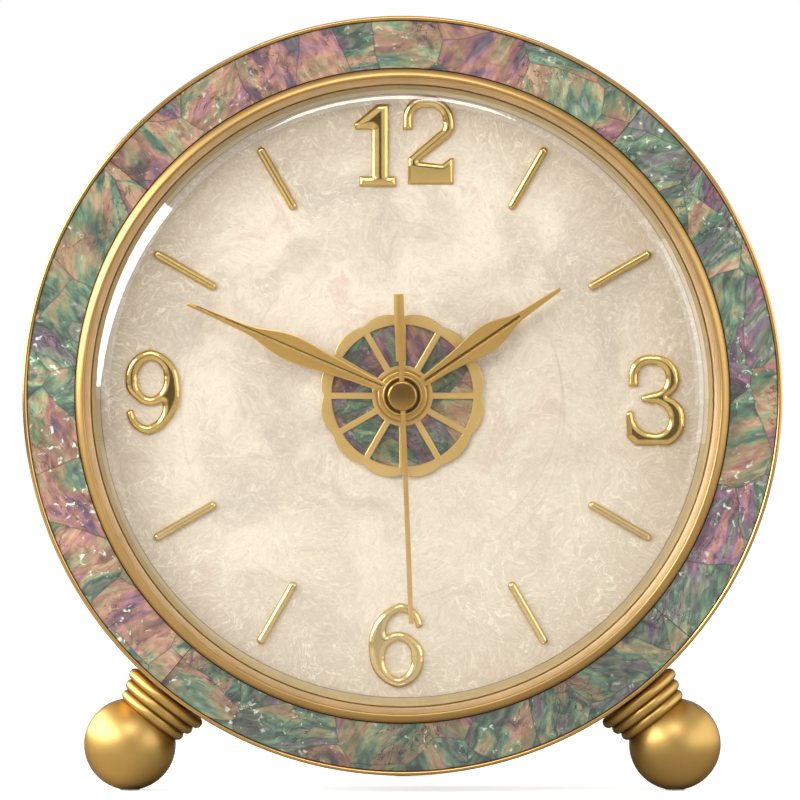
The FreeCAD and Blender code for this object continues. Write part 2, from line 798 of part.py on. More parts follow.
def make_movement_rear_case():
    inner = movement_inner_half
    box = rounded_block(-movement_half_width, movement_half_width, -movement_half_width,
                        movement_half_width, room_front, movement_rear, movement_corner)
    room = block(-inner, inner, bay_top + movement_wall, inner, room_front - cut_overrun, room_rear)
    bay = block(-bay_half_length, bay_half_length, bay_bottom, bay_top,
                room_front - cut_overrun, movement_rear + cut_overrun)
    knob_hole = rod(knob_stem_radius + pivot_clearance, room_rear - cut_overrun,
                    movement_rear + cut_overrun, *knob_place)
    tab_front = movement_front + board_layer
    slots = []
    for side in (-1, 1):
        near = bay_half_length - contact_thickness - contact_gap
        left, right = sorted((side * near, side * bay_half_length))
        slots.append(block(left, right, bay_top - cut_overrun, bay_top + movement_wall + cut_overrun,
                           tab_front - contact_gap, tab_front + contact_tab_width + contact_gap))
    return box.cut([room, bay, knob_hole, *slots])


def stator_leg_x(side):
    """The middle of a stator leg."""
    return rotor_place[0] + side * (stator_half_span - stator_leg_width / 2)


# Wheels of the going train, each with its pinion and arbor
def wheel_and_arbor(place, wheel, pinion, start_layer, end_layer):
    """A wheel, its pinion and an arbor between two layers."""
    return joined(wheel, pinion, layered_rod(train_arbor_radius, start_layer, end_layer, place))


def pinion_layer(wheel_layer):
    """The layer where a pinion starts, to be centred on the wheel that it drives."""
    return wheel_layer + (wheel_thickness - pinion_length) / 2


def make_second_wheel():
    wheel = toothed(second_wheel_teeth, second_wheel_module, intermediate_wheel_direction,
                    second_wheel_layer, wheel_thickness)
    pinion = toothed(second_pinion_teeth, third_module, third_wheel_direction,
                     pinion_layer(third_wheel_layer), pinion_length)
    arbor = rod(second_arbor_radius, second_hand_depth, movement_front + pivot_end)
    return joined(wheel, pinion, arbor)


def make_third_wheel():
    back_direction = third_wheel_direction + 180
    wheel = toothed(third_wheel_teeth, third_module, gap_phase(third_wheel_teeth, back_direction),
                    third_wheel_layer, wheel_thickness, third_wheel_place)
    pinion = toothed(third_pinion_teeth, centre_module, back_direction,
                     pinion_layer(centre_wheel_layer), pinion_length, third_wheel_place)
    return wheel_and_arbor(third_wheel_place, wheel, pinion, pivot_start, pivot_end)


def make_centre_wheel():
    wheel = toothed(centre_wheel_teeth, centre_module, gap_phase(centre_wheel_teeth, third_wheel_direction),
                    centre_wheel_layer, wheel_thickness)
    hub = layered_rod(wheel_hub_radius, centre_wheel_layer, centre_wheel_layer + centre_hub_length)
    bore = layered_rod(clutch_radius + pivot_clearance, centre_wheel_layer - cut_overrun,
                       centre_wheel_layer + cut_overrun)
    return joined(wheel, hub).cut(bore)


def make_intermediate_wheel():
    back_direction = intermediate_wheel_direction + 180
    wheel = toothed(intermediate_wheel_teeth, intermediate_wheel_module, rotor_direction,
                    intermediate_wheel_layer, wheel_thickness, intermediate_place)
    pinion = toothed(intermediate_pinion_teeth, second_wheel_module,
                     gap_phase(intermediate_pinion_teeth, back_direction),
                     pinion_layer(second_wheel_layer), pinion_length, intermediate_place)
    return wheel_and_arbor(intermediate_place, wheel, pinion, pivot_start, pivot_end)


def make_rotor():
    pinion = toothed(rotor_pinion_teeth, intermediate_wheel_module,
                     gap_phase(rotor_pinion_teeth, rotor_direction + 180),
                     pinion_layer(intermediate_wheel_layer), pinion_length, rotor_place)
    magnet = layered_rod(rotor_magnet_radius, rotor_magnet_layer,
                         rotor_magnet_layer + rotor_magnet_thickness, rotor_place)
    return wheel_and_arbor(rotor_place, magnet, pinion, pivot_start, pivot_end)


# Motion work
def make_minute_arbor():
    tube_front = minute_hand_depth + hand_thickness - minute_hub_height + minute_hub_recess_depth
    tube = rod(minute_tube_radius, tube_front, movement_front + minute_wheel_layer)
    pinion = toothed(cannon_teeth, motion_module, minute_wheel_direction, minute_wheel_layer, pinion_length)
    clutch_end = centre_wheel_layer + centre_hub_length + arbor_end
    clutch = layered_rod(clutch_radius, minute_wheel_layer, clutch_end)
    bore = rod(minute_tube_bore_radius, tube_front - cut_overrun, movement_front + clutch_end + cut_overrun)
    return joined(tube, pinion, clutch).cut(bore)


def make_minute_wheel():
    back_direction = minute_wheel_direction + 180
    wheel = toothed(minute_wheel_teeth, motion_module, gap_phase(minute_wheel_teeth, back_direction),
                    minute_wheel_layer, motion_wheel_thickness, minute_wheel_place)
    pinion = toothed(minute_pinion_teeth, motion_module, back_direction, minute_pinion_layer,
                     minute_wheel_layer - minute_pinion_layer, minute_wheel_place)
    bore = layered_rod(minute_post_radius + pivot_clearance, 0, bridge_layer, minute_wheel_place)
    return joined(wheel, pinion).cut(bore)


def make_hour_wheel():
    wheel = toothed(hour_wheel_teeth, motion_module, gap_phase(hour_wheel_teeth, minute_wheel_direction),
                    hour_wheel_layer, motion_wheel_thickness)
    pipe = rod(hour_pipe_radius, hour_hand_depth, movement_front + hour_wheel_layer)
    bore = rod(hour_pipe_bore_radius, hour_hand_depth - cut_overrun,
               movement_front + hour_wheel_layer + motion_wheel_thickness + cut_overrun)
    return joined(wheel, pipe).cut(bore)


def make_set_knob():
    wheel_side = knob_direction + 180
    pinion = toothed(knob_pinion_teeth, motion_module, knob_pinion_phase(wheel_side),
                     minute_wheel_layer, motion_wheel_thickness, knob_place)
    knob_front = movement_rear + knob_gap
    stem = rod(knob_stem_radius, movement_front + pivot_start, knob_front + knob_thickness, *knob_place)
    grip = plate(tooth_outline(knob_serrations, knob_module, 0), knob_front, knob_thickness, *knob_place)
    return joined(pinion, stem, grip)


def knob_pinion_phase(wheel_side):
    """Where the knob's pinion stands so that it meshes with the minute wheel as that wheel stands."""
    wheel_phase = gap_phase(minute_wheel_teeth, minute_wheel_direction + 180)
    wheel_step = 360 / minute_wheel_teeth
    lead = (knob_direction - wheel_phase) % wheel_step
    return gap_phase(knob_pinion_teeth, wheel_side + lead * minute_wheel_teeth / knob_pinion_teeth)


# Plate that carries the rear pivots of the train
def make_train_bridge():
    front = movement_front + bridge_layer
    across = [x for x, _ in bridge_posts]
    up = [height for _, height in bridge_posts]
    body = rounded_block(min(across) - bridge_margin, max(across) + bridge_margin,
                         min(up) - bridge_margin, max(up) + bridge_margin,
                         front, front + bridge_thickness, bridge_corner)
    holes = [rod(second_arbor_radius + pivot_clearance, front - cut_overrun, front + cut_overrun)]
    for place in (third_wheel_place, intermediate_place, rotor_place):
        holes.append(rod(train_arbor_radius + pivot_clearance, front - cut_overrun, front + cut_overrun, *place))
    for place in bridge_posts:
        holes.append(rod(bridge_pin_radius + pivot_clearance, front - cut_overrun, front + cut_overrun, *place))
    return body.cut(holes)


# Stepping motor
def make_stator_plate():
    front = movement_front + stator_layer
    x, height = rotor_place
    limb = block(x - stator_half_span, x + stator_half_span, height - stator_limb_half_height,
                 height + stator_limb_half_height, front, front + stator_thickness)
    legs = [block(stator_leg_x(side) - stator_leg_width / 2, stator_leg_x(side) + stator_leg_width / 2,
                  height, stator_top, front, front + stator_thickness) for side in (-1, 1)]
    return joined(limb, *legs).cut(rod(stator_bore_radius, front - cut_overrun, front + cut_overrun, x, height))


def make_coil_core():
    return block(stator_leg_x(-1), stator_leg_x(1), coil_axis_height - core_half_height,
                 coil_axis_height + core_half_height, core_front, core_front + core_thickness)


def coil_tube(outer, inner, start, end):
    """A tube along the coil's axis."""
    along = Vector(1, 0, 0)
    tube = Part.makeCylinder(outer, end - start, at(start, coil_axis_height, coil_depth), along)
    return tube.cut(Part.makeCylinder(inner, end - start, at(start, coil_axis_height, coil_depth), along))


def coil_span():
    """The coil's ends, between the stator's legs."""
    half = stator_leg_width / 2 + coil_margin
    return stator_leg_x(-1) + half, stator_leg_x(1) - half


def make_coil_bobbin():
    start, end = coil_span()
    bore = math.hypot(core_half_height, core_thickness / 2) + fit_clearance
    flange = bobbin_flange_thickness
    return joined(coil_tube(bobbin_tube_radius, bore, start, end),
                  coil_tube(bobbin_flange_radius, bore, start, start + flange),
                  coil_tube(bobbin_flange_radius, bore, end - flange, end))


def make_coil_winding():
    start, end = coil_span()
    inset = bobbin_flange_thickness + fit_clearance
    return coil_tube(winding_radius, bobbin_tube_radius + fit_clearance, start + inset, end - inset)


def make_circuit_board():
    outline = [
        (board_left, board_bottom), (board_left, board_top), (board_arm_right, board_top),
        (board_arm_right, board_arm_bottom), (board_right, board_arm_bottom), (board_right, board_bottom),
    ]
    return plate(outline, movement_front + board_layer, board_thickness)


def make_quartz_can():
    depth = movement_front + board_layer + board_thickness + crystal_radius
    return Part.makeCylinder(crystal_radius, crystal_length, at(*crystal_place, depth), Vector(0, 0, -1))


# Battery contacts: bent strips, with a tab that rises to the board
def make_battery_contact_minus():
    outer = -bay_half_length
    inner = outer + contact_thickness
    tab_front = movement_front + board_layer
    front = battery_depth - battery_radius + battery_edge_round
    profile = [
        (outer, front), (outer + contact_bulge, battery_depth), (outer, battery_depth * 2 - front),
        (inner, battery_depth * 2 - front), (inner + contact_bulge, battery_depth), (inner, front),
    ]
    wire = closed_wire(profile, lambda x, depth: at(x, battery_height - contact_half_height, depth))
    spring = Part.Face(wire).extrude(Vector(0, 0, contact_half_height * 2))
    tab = block(outer, inner, battery_height, contact_tab_top(), tab_front, tab_front + contact_tab_width)
    return joined(spring, tab)


def contact_tab_top():
    """The height where the contact tabs end, beside the board's lower edge."""
    return board_bottom + contact_foot_depth


def make_battery_contact_plus():
    outer = bay_half_length
    inner = outer - contact_thickness
    tab_front = movement_front + board_layer + board_thickness
    front = battery_depth - battery_radius + battery_edge_round
    pad = block(inner, outer, battery_height - contact_half_height, battery_height + contact_half_height,
                front, battery_depth * 2 - front)
    tab = block(inner, outer, battery_height, board_bottom + contact_thickness,
                tab_front, tab_front + contact_tab_width / 2)
    run = block(board_right - contact_foot_depth, outer, board_bottom, board_bottom + contact_thickness,
                tab_front, tab_front + contact_tab_width / 2)
    return joined(pad, tab, run)


def make_battery():
    nub_end = bay_half_length - contact_thickness - contact_gap
    body_end = nub_end - battery_nub_length
    start = nub_end - battery_length
    profile = [
        (start, 0), (start, battery_radius - battery_edge_round), (start + battery_edge_round, battery_radius),
        (body_end - battery_edge_round, battery_radius), (body_end, battery_radius - battery_edge_round),
        (body_end, battery_nub_radius), (nub_end, battery_nub_radius), (nub_end, 0),
    ]
    wire = closed_wire(profile, lambda x, radius: at(x, battery_height + radius, battery_depth))
    return Part.Face(wire).revolve(at(0, battery_height, battery_depth), Vector(1, 0, 0), 360)


# Back cover: a rimmed disc with a window for the movement and a boss for the rear leg
def rear_leg_axis():
    """The centre of the rear ball and the direction from it up to the cover."""
    tilt = math.radians(rear_leg_elevation)
    ball = Vector(0, lip_y + rear_foot_depth, foot_ball_radius)
    return ball, Vector(0, -math.cos(tilt), math.sin(tilt))


def rear_seat_distance():
    """How far along the leg's axis the boss face stands from the rear ball's centre."""
    tilt = math.radians(rear_leg_elevation)
    cover_rear = case_depth + cover_thickness
    return (rear_foot_depth - cover_rear) / math.cos(tilt) - rear_boss_radius * math.tan(tilt) - rear_boss_rise


def leg_bar(radius, near, far):
    """A round bar on the rear leg's axis."""
    ball, upwards = rear_leg_axis()
    return Part.makeCylinder(radius, far - near, ball + upwards * near, upwards)


def make_back_cover():
    front = case_depth
    rear = case_depth + cover_thickness
    cover = turned([
        (0, front), (cover_radius, front), (cover_radius, rear - cover_edge_round),
        (cover_radius - cover_edge_round, rear), (0, rear),
    ])
    half = movement_half_width + cover_window_clearance
    window = rounded_block(-half, half, -half, half, front - cut_overrun, rear + cut_overrun,
                           cover_window_corner)
    seat = rear_seat_distance()
    room = rear_foot_depth
    behind = Part.makeBox(2 * room, room, 2 * room, at(-room, -case_centre_z, front + cover_thickness / 2))
    boss = leg_bar(rear_boss_radius, seat, seat + room).common(behind)
    cuts = [window, leg_bar(stud_radius + fit_clearance, seat - cut_overrun, seat + rear_stud_in_boss)]
    for x, height in screw_places():
        cuts.append(rod(screw_radius + screw_clearance, front - cut_overrun, rear + cut_overrun, x, height))
    return joined(cover, boss).cut(cuts)


def make_cover_screw(x, height):
    seat = case_depth + cover_thickness
    flange_front = case_depth - rear_flange_thickness
    return joined(rod(screw_radius, flange_front, seat, x, height),
                  rod(screw_head_radius, seat, seat + screw_head_height, x, height))


# Ball feet with a turned three-bead collar
def collar_profile():
    """The collar's outline as (radius, distance from the ball's centre towards the case)."""
    base = math.sqrt(foot_ball_radius ** 2 - collar_neck_radius ** 2)
    outline = [(0, base), (collar_neck_radius, base)]
    for bead in collar_bead_radii:
        groove = bead - collar_groove_depth
        if bead > collar_bead_radii[0]:
            outline.append((groove, base))
        outline.append(((bead, base + collar_bead_thickness / 2), (groove, base + collar_bead_thickness)))
        base += collar_bead_thickness
    outline.append((collar_spigot_radius, base))
    outline.append((collar_spigot_radius, foot_reach))
    outline.append((0, foot_reach))
    return outline


def make_foot(ball, upwards):
    """A ball foot whose axis points upwards from the centre of its ball, resting on its pad."""
    side = upwards.cross(Vector(1, 1, 1)).normalize()
    wire = closed_wire(collar_profile(), lambda radius, along: ball + side * radius + upwards * along,
                       turning_flats)
    collar = Part.Face(wire).revolve(ball, upwards, 360)
    foot = Part.makeSphere(foot_ball_radius, ball).fuse(collar)
    socket = Part.makeCylinder(stud_radius + fit_clearance, stud_engagement + cut_overrun,
                               ball + upwards * (foot_reach - stud_engagement), upwards)
    floor = ball - Vector(0, 0, foot_ball_radius + cut_overrun)
    recess = Part.makeCylinder(foot_pad_radius + fit_clearance, cut_overrun + foot_pad_thickness, floor)
    return foot.cut([socket, recess])


def feet():
    """The ball centre and axis of the left, right and rear foot."""
    places = []
    for side in (-1, 1):
        outwards = foot_direction(side)
        places.append((at(0, 0, foot_depth) + outwards * foot_axis_distance, outwards * -1))
    places.append(rear_leg_axis())
    return places


def make_foot_pad(ball):
    return Part.makeCylinder(foot_pad_radius, foot_pad_thickness, ball - Vector(0, 0, foot_ball_radius))


def make_rear_leg():
    ball, upwards = rear_leg_axis()
    seat = rear_seat_distance()
    waist = (foot_reach + seat) / 2
    side = Vector(1, 0, 0)
    profile = [
        (stud_radius + stud_clearance, foot_reach), (rear_leg_top_radius, foot_reach),
        ((rear_leg_waist_radius, waist), (rear_leg_top_radius, seat)),
        (stud_radius + stud_clearance, seat),
    ]
    wire = closed_wire(profile, lambda radius, along: ball + side * radius + upwards * along, turning_flats)
    return Part.Face(wire).revolve(ball, upwards, 360)


def make_foot_studs():
    inner_end = case_inner_radius - foot_nut_height - cut_overrun
    studs = [foot_bar(side, stud_radius, inner_end, case_radius + stud_engagement) for side in (-1, 1)]
    studs.append(leg_bar(stud_radius, foot_reach - stud_engagement, rear_seat_distance() + rear_stud_in_boss))
    return studs


def make_foot_nut(side):
    seat = math.sqrt(case_inner_radius ** 2 - foot_nut_radius ** 2) - foot_nut_seat_gap
    outwards = foot_direction(side)
    start = at(0, 0, foot_depth) + outwards * (seat - foot_nut_height)
    across = back * foot_nut_radius
    corners = []
    for corner in range(6):
        turn = FreeCAD.Rotation(outwards, 60 * corner)
        corners.append(start + turn.multVec(across))
    hexagon = Part.Face(Part.makePolygon(corners + corners[:1])).extrude(outwards * foot_nut_height)
    return hexagon.cut(foot_bar(side, stud_radius + stud_clearance, seat - foot_nut_height - cut_overrun,
                                seat + cut_overrun))


# All nodes
nodes["case_drum"] = make_case_drum()
nodes["front_frame"] = make_front_frame()
for number in range(len(shell_joint_angles)):
    nodes[f"shell_inlay_{number + 1}"] = make_shell_inlay(number)
nodes["inner_bezel_ring"] = make_inner_bezel_ring()
nodes["glass_lens"] = make_glass_lens()
nodes["lens_gasket"] = make_lens_gasket()
nodes["dial_pearl"] = disc(dial_radius, centre_hole, dial_depth, dial_thickness)
nodes["dial_backing"] = disc(dial_radius, centre_hole, backing_depth, backing_thickness)
nodes["rosette_inlay"] = disc(rosette_radius - rosette_notch_depth - inlay_margin, centre_hole,
                              dial_depth - inlay_thickness, inlay_thickness)
nodes["rosette_fret"] = make_rosette_fret()
nodes["numeral_twelve"] = Part.makeCompound([numeral(one_outline_share, twelve_centre_share),
                                             numeral(two_outline_share, twelve_centre_share)])
nodes["numeral_three"] = numeral(three_outline_share, three_centre_share)
nodes["numeral_six"] = numeral(six_outline_share, six_centre_share, [six_hole_share])
nodes["numeral_nine"] = numeral(six_outline_share, nine_centre_share, [six_hole_share], turn=-1)
nodes["hour_batons"] = Part.makeCompound([make_baton(hour) for hour in baton_hours])
nodes["mounting_washer"] = disc(washer_radius, centre_hole, washer_depth, washer_thickness)
nodes["mounting_nut"] = disc(nut_radius, centre_hole, nut_depth, nut_height)
nodes["hour_hand"] = make_hour_hand()
nodes["minute_hand"] = make_minute_hand()
nodes["second_hand"] = make_second_hand()
nodes["second_cap"] = make_second_cap()
nodes["movement_front_case"] = make_movement_front_case()
nodes["movement_rear_case"] = make_movement_rear_case()
nodes["second_wheel"] = make_second_wheel()
nodes["third_wheel"] = make_third_wheel()
nodes["centre_wheel"] = make_centre_wheel()
nodes["intermediate_wheel"] = make_intermediate_wheel()
nodes["rotor"] = make_rotor()
nodes["minute_arbor"] = make_minute_arbor()
nodes["minute_wheel"] = make_minute_wheel()
nodes["hour_wheel"] = make_hour_wheel()
nodes["set_knob"] = make_set_knob()
nodes["train_bridge"] = make_train_bridge()
nodes["stator_plate"] = make_stator_plate()
nodes["coil_core"] = make_coil_core()
nodes["coil_bobbin"] = make_coil_bobbin()
nodes["coil_winding"] = make_coil_winding()
nodes["circuit_board"] = make_circuit_board()
nodes["quartz_can"] = make_quartz_can()
nodes["battery_contact_plus"] = make_battery_contact_plus()
nodes["battery_contact_minus"] = make_battery_contact_minus()
nodes["battery"] = make_battery()
nodes["back_cover"] = make_back_cover()
nodes["back_cover_screws"] = Part.makeCompound([make_cover_screw(*place) for place in screw_places()])
nodes["ball_feet"] = Part.makeCompound([make_foot(*foot) for foot in feet()])
nodes["foot_pads"] = Part.makeCompound([make_foot_pad(ball) for ball, _ in feet()])
nodes["rear_leg"] = make_rear_leg()
nodes["foot_studs"] = Part.makeCompound(make_foot_studs())
nodes["foot_nuts"] = Part.makeCompound([make_foot_nut(side) for side in (-1, 1)])

os.makedirs("parts", exist_ok=True)
for name, shape in nodes.items():
    shape.exportStep(f"parts/{name}.step")
    print(name, len(shape.Solids), round(shape.Volume, 2), shape.isValid())
print("case centre height", round(case_centre_z, 3), "lip at y", round(lip_y, 3), "depth", round(overall_depth, 3))
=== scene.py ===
# %% [markdown]
# # A desk clock in brass, shell and mother-of-pearl
# The clock arrives as a CAD frame with every piece in its real place. This lesson dresses it: the large
# turned rings get smooth meshes, the dial furniture gets its relief, and each surface gets a
# procedural material. The frame keeps the joints, so each new piece rides on one of its bodies.

# %% Load the frame
import math

import bmesh
import bpy
import numpy as np
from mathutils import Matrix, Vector
from mathutils.geometry import delaunay_2d_cdt


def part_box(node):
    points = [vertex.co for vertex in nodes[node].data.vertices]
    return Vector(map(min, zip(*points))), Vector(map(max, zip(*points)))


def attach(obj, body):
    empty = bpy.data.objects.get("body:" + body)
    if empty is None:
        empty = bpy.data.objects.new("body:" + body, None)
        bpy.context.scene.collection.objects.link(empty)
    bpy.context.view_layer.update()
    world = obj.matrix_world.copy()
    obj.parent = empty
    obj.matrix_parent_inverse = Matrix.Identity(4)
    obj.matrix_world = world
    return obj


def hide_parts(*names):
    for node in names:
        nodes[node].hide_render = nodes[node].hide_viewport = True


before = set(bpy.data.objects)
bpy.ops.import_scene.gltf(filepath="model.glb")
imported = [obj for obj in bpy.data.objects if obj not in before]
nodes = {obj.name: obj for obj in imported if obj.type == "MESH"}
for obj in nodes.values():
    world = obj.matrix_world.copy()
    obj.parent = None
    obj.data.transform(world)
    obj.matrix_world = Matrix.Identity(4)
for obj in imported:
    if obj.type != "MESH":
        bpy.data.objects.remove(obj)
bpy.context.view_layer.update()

# %% [markdown]
# ## Places on the clock
# A clockmaker's drawing gives lengths in millimetres from the middle of the dial. We do the same, and
# turn them into Blender's metres in one place. A place is (x, height, depth): x and height from the
# middle of the dial, depth behind the front lip. The middle is read from the CAD case, so that
# everything follows the frame.

# %% Places
MM = 0.001
FRONT = "clock_case"
AXIS, ACROSS = Vector((0, 1, 0)), Vector((1, 0, 0))
case_low, case_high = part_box("case_drum")
CASE_RADIUS = (case_high.x - case_low.x) / 2 / MM
DIAL_X = (case_low.x + case_high.x) / 2
DIAL_Z = (case_low.z + case_high.z) / 2
LIP_Y = case_low.y


def at(x, height, depth):
    """The point at a place on the clock, in metres."""
    return Vector((DIAL_X + x * MM, LIP_Y + depth * MM, DIAL_Z + height * MM))


def depth_of(node):
    """The front and rear depth of a CAD node, in millimetres."""
    low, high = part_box(node)
    return (low.y - LIP_Y) / MM, (high.y - LIP_Y) / MM


DIAL_DEPTH = depth_of("dial_pearl")[0]
print("dial centre", round(DIAL_Z / MM, 2), "mm up; dial face", round(DIAL_DEPTH, 2), "mm behind the lip")

# %% [markdown]
# ## Profiles
# Turned rings, hands and numerals all start as a drawn line of corners and arcs. A shiny rim shows
# every flat, so each rounded corner is a true arc through three points and not a guess by hand.

# %% Arcs and paths
def arc(start, middle, end, count):
    """Points after start on the arc through middle to end, for profiles and outlines."""
    (ax, ay), (bx, by), (cx, cy) = start, middle, end
    d = 2 * (ax * (by - cy) + bx * (cy - ay) + cx * (ay - by))
    ux = ((ax**2 + ay**2) * (by - cy) + (bx**2 + by**2) * (cy - ay) + (cx**2 + cy**2) * (ay - by)) / d
    uy = ((ax**2 + ay**2) * (cx - bx) + (bx**2 + by**2) * (ax - cx) + (cx**2 + cy**2) * (bx - ax)) / d
    radius = math.hypot(ax - ux, ay - uy)
    a0, a1, a2 = (math.atan2(y - uy, x - ux) for x, y in (start, middle, end))
    turn = (a2 - a0) % math.tau
    if (a1 - a0) % math.tau > turn:
        turn -= math.tau
    return [(ux + radius * math.cos(a0 + turn * i / count), uy + radius * math.sin(a0 + turn * i / count))
            for i in range(1, count + 1)]


def path(steps, count=12):
    """A list of points from corners and arcs. An arc is a pair of points: its middle and its end."""
    points = [steps[0]]
    for step in steps[1:]:
        if isinstance(step[0], tuple):
            points += arc(points[-1], step[0], step[1], count)
        else:
            points.append(step)
    return points


print("a quarter round has", len(arc((1, 0), (0.7071, 0.7071), (0, 1), 6)), "points")

# %% [markdown]
# ## From bmesh to piece
# Each mesh ends the same way: its doubles are merged, its faces turned outwards, its edges kept sharp
# only where the metal has a real edge. Then it rides on a body of the frame, and stands in for the
# CAD node of the same shape.

# %% Finishing a piece
def finish_piece(name, bm, material, body, node, slot, sharp=32):
    """Turns a bmesh into a piece: smooth but for its sharp edges, painted, and riding on its body."""
    bmesh.ops.remove_doubles(bm, verts=bm.verts, dist=1e-7)
    bmesh.ops.recalc_face_normals(bm, faces=bm.faces)
    mesh = bpy.data.meshes.new(name)
    bm.to_mesh(mesh)
    bm.free()
    mesh.shade_smooth()
    mesh.set_sharp_from_angle(angle=math.radians(sharp))
    mesh.materials.append(material)
    piece = bpy.data.objects.new(name, mesh)
    bpy.context.collection.objects.link(piece)
    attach(piece, body)
    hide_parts(node)
    return piece


# %% [markdown]
# ## Turned pieces
# Case, bezel, glass and feet come off a lathe on the real clock. The spin operator is Blender's lathe:
# it sweeps a profile about a line and merges the last ring with the first, so no seam is left.

# %% Lathe
def spin_profile(bm, profile, start, side, along, steps, closed=True):
    """Spins a profile of (radius, distance along) about a line, into bm."""
    verts = [bm.verts.new(start + side * (r * MM) + along * (s * MM)) for r, s in profile]
    edges = [bm.edges.new(pair) for pair in zip(verts, verts[1:])]
    if closed:
        edges.append(bm.edges.new((verts[-1], verts[0])))
    bmesh.ops.spin(bm, geom=verts + edges, cent=start, axis=along, angle=math.tau, steps=steps,
                   use_merge=True, use_duplicate=False)


def lathe(name, profile, material, body=FRONT, steps=360, closed=True, **facts):
    """A piece turned about the clock's axis, from a profile of (radius, depth)."""
    bm = bmesh.new()
    spin_profile(bm, profile, at(0, 0, 0), ACROSS, AXIS, steps, closed)
    return finish_piece(name, bm, material, body, **facts)


print("large rings have a flat every", round(math.tau * CASE_RADIUS / 360, 2), "mm")

# %% [markdown]
# ## Cast and pressed pieces
# Numerals are cast with round-topped strokes, and hands are pressed from sheet, with a groove or a rib.
# Insets or a bevel on a filled outline would be the usual way, but both collapse where a stroke is
# narrow or turns tightly. So the outline is filled with an even fine mesh, and one rule lifts each
# point by its distance from the edge. Extruding that face backwards gives the wall and a flat back.

# %% Distances inside an outline
def inside(points, loops):
    """Which points lie inside the loops, by counting crossings."""
    hit = np.zeros(len(points), bool)
    for loop in loops:
        a = np.array(loop)
        b = np.roll(a, -1, axis=0)
        for (x0, y0), (x1, y1) in zip(a, b):
            crosses = (y0 > points[:, 1]) != (y1 > points[:, 1])
            if y0 != y1:
                hit ^= crosses & (points[:, 0] < (x1 - x0) * (points[:, 1] - y0) / (y1 - y0) + x0)
    return hit


def edge_distance(points, loops):
    """The distance of each point to the nearest edge of the loops."""
    best = np.full(len(points), np.inf)
    for loop in loops:
        a = np.array(loop)
        b = np.roll(a, -1, axis=0)
        for p, q in zip(a, b):
            line = q - p
            t = np.clip(((points - p) @ line) / max(line @ line, 1e-12), 0, 1)
            best = np.minimum(best, np.hypot(*(points - p - t[:, None] * line).T))
    return best


SQUARE = [(0.0, 0.0), (1.0, 0.0), (1.0, 1.0), (0.0, 1.0)]
print("the middle of a square is", edge_distance(np.array([(0.5, 0.5)]), [SQUARE])[0], "from its edge")

# %% Points that fill an outline
RING_STEPS = (0.35, 1.0, 1.8)      # rings of points that follow the outline, in mesh steps
GRID_CLEAR = 2.4                   # the even grid starts this many mesh steps from the outline
RING_SLACK = 0.96                  # a ring's point may be this share of its distance from any edge
LONGEST_EDGE = 1.5                 # an outline's edges are at most this many mesh steps long
ROW = math.sqrt(3) / 2             # rows of a grid of even triangles


def divided(loop, longest):
    """The loop with its long edges cut into pieces, so that the mesh stays even."""
    points = []
    for (x0, y0), (x1, y1) in zip(loop, loop[1:] + loop[:1]):
        count = max(1, math.ceil(math.hypot(x1 - x0, y1 - y0) / longest))
        points += [(x0 + (x1 - x0) * i / count, y0 + (y1 - y0) * i / count) for i in range(count)]
    return points


def filling(loops, step):
    """The corners of the loops, rings of points that follow them, and an even grid inside."""
    corners = np.array([p for loop in loops for p in loop])
    low, high = corners.min(0), corners.max(0)
    xs = np.arange(low[0] + step / 2, high[0], step)
    ys = np.arange(low[1] + step / 2, high[1], step * ROW)
    grid = np.array([(x + (step / 2 if row % 2 else 0), y) for row, y in enumerate(ys) for x in xs])
    grid = grid[inside(grid, loops)]
    grid = grid[edge_distance(grid, loops) > step * GRID_CLEAR]
    sides = np.vstack([np.roll(loop, -1, axis=0) - np.roll(loop, 1, axis=0) for loop in map(np.array, loops)])
    across = np.stack([-sides[:, 1], sides[:, 0]], 1) / np.hypot(*sides.T)[:, None]
    rings = [corners]
    for far in (share * step for share in RING_STEPS):
        for way in (across, -across):
            ring = corners + way * far
            ring = ring[inside(ring, loops)]
            rings.append(ring[edge_distance(ring, loops) > far * RING_SLACK])
    return np.vstack(rings + [grid])


print("a square takes", len(filling([divided(SQUARE, 0.1)], 0.1)), "points at a tenth of its side")

# %% Relief
def add_relief(bm, loops, step, rear, rise, turn=0.0):
    """Fills the loops with a fine mesh whose front stands rise(points, distance) before the depth rear."""
    loops = [divided(loop, step * LONGEST_EDGE) for loop in loops]
    points = filling(loops, step)
    edges, base = [], 0
    for loop in loops:
        edges += [(base + i, base + (i + 1) % len(loop)) for i in range(len(loop))]
        base += len(loop)
    flat, _, faces, *_ = delaunay_2d_cdt([Vector(p) for p in points], edges, [], 0, 1e-6)
    flat = np.array([tuple(v) for v in flat])
    centres = np.array([flat[list(face)].mean(0) for face in faces])
    keep = inside(centres, loops)
    heights = rise(flat, edge_distance(flat, loops))
    cos, sin = math.cos(math.radians(turn)), math.sin(math.radians(turn))
    verts = [bm.verts.new(at(x * cos + y * sin, y * cos - x * sin, rear - h))
             for (x, y), h in zip(flat, heights)]
    tops = [bm.faces.new([verts[i] for i in face]) for face, kept in zip(faces, keep) if kept]
    for vert in verts:
        if not vert.link_faces:
            bm.verts.remove(vert)
    front = set(tops)
    for face in tops:
        front.update(face.edges, face.verts)
    back = bmesh.ops.extrude_face_region(bm, geom=list(front), use_keep_orig=True)["geom"]
    for vert in (part for part in back if isinstance(part, bmesh.types.BMVert)):
        vert.co.y = LIP_Y + rear * MM
    return bm


def relief(name, loops, step, rear, rise, material, sharp=38, **facts):
    """A piece of the dial made by add_relief alone."""
    bm = add_relief(bmesh.new(), loops, step, rear, rise)
    return finish_piece(name, bm, material, FRONT, sharp=sharp, **facts)


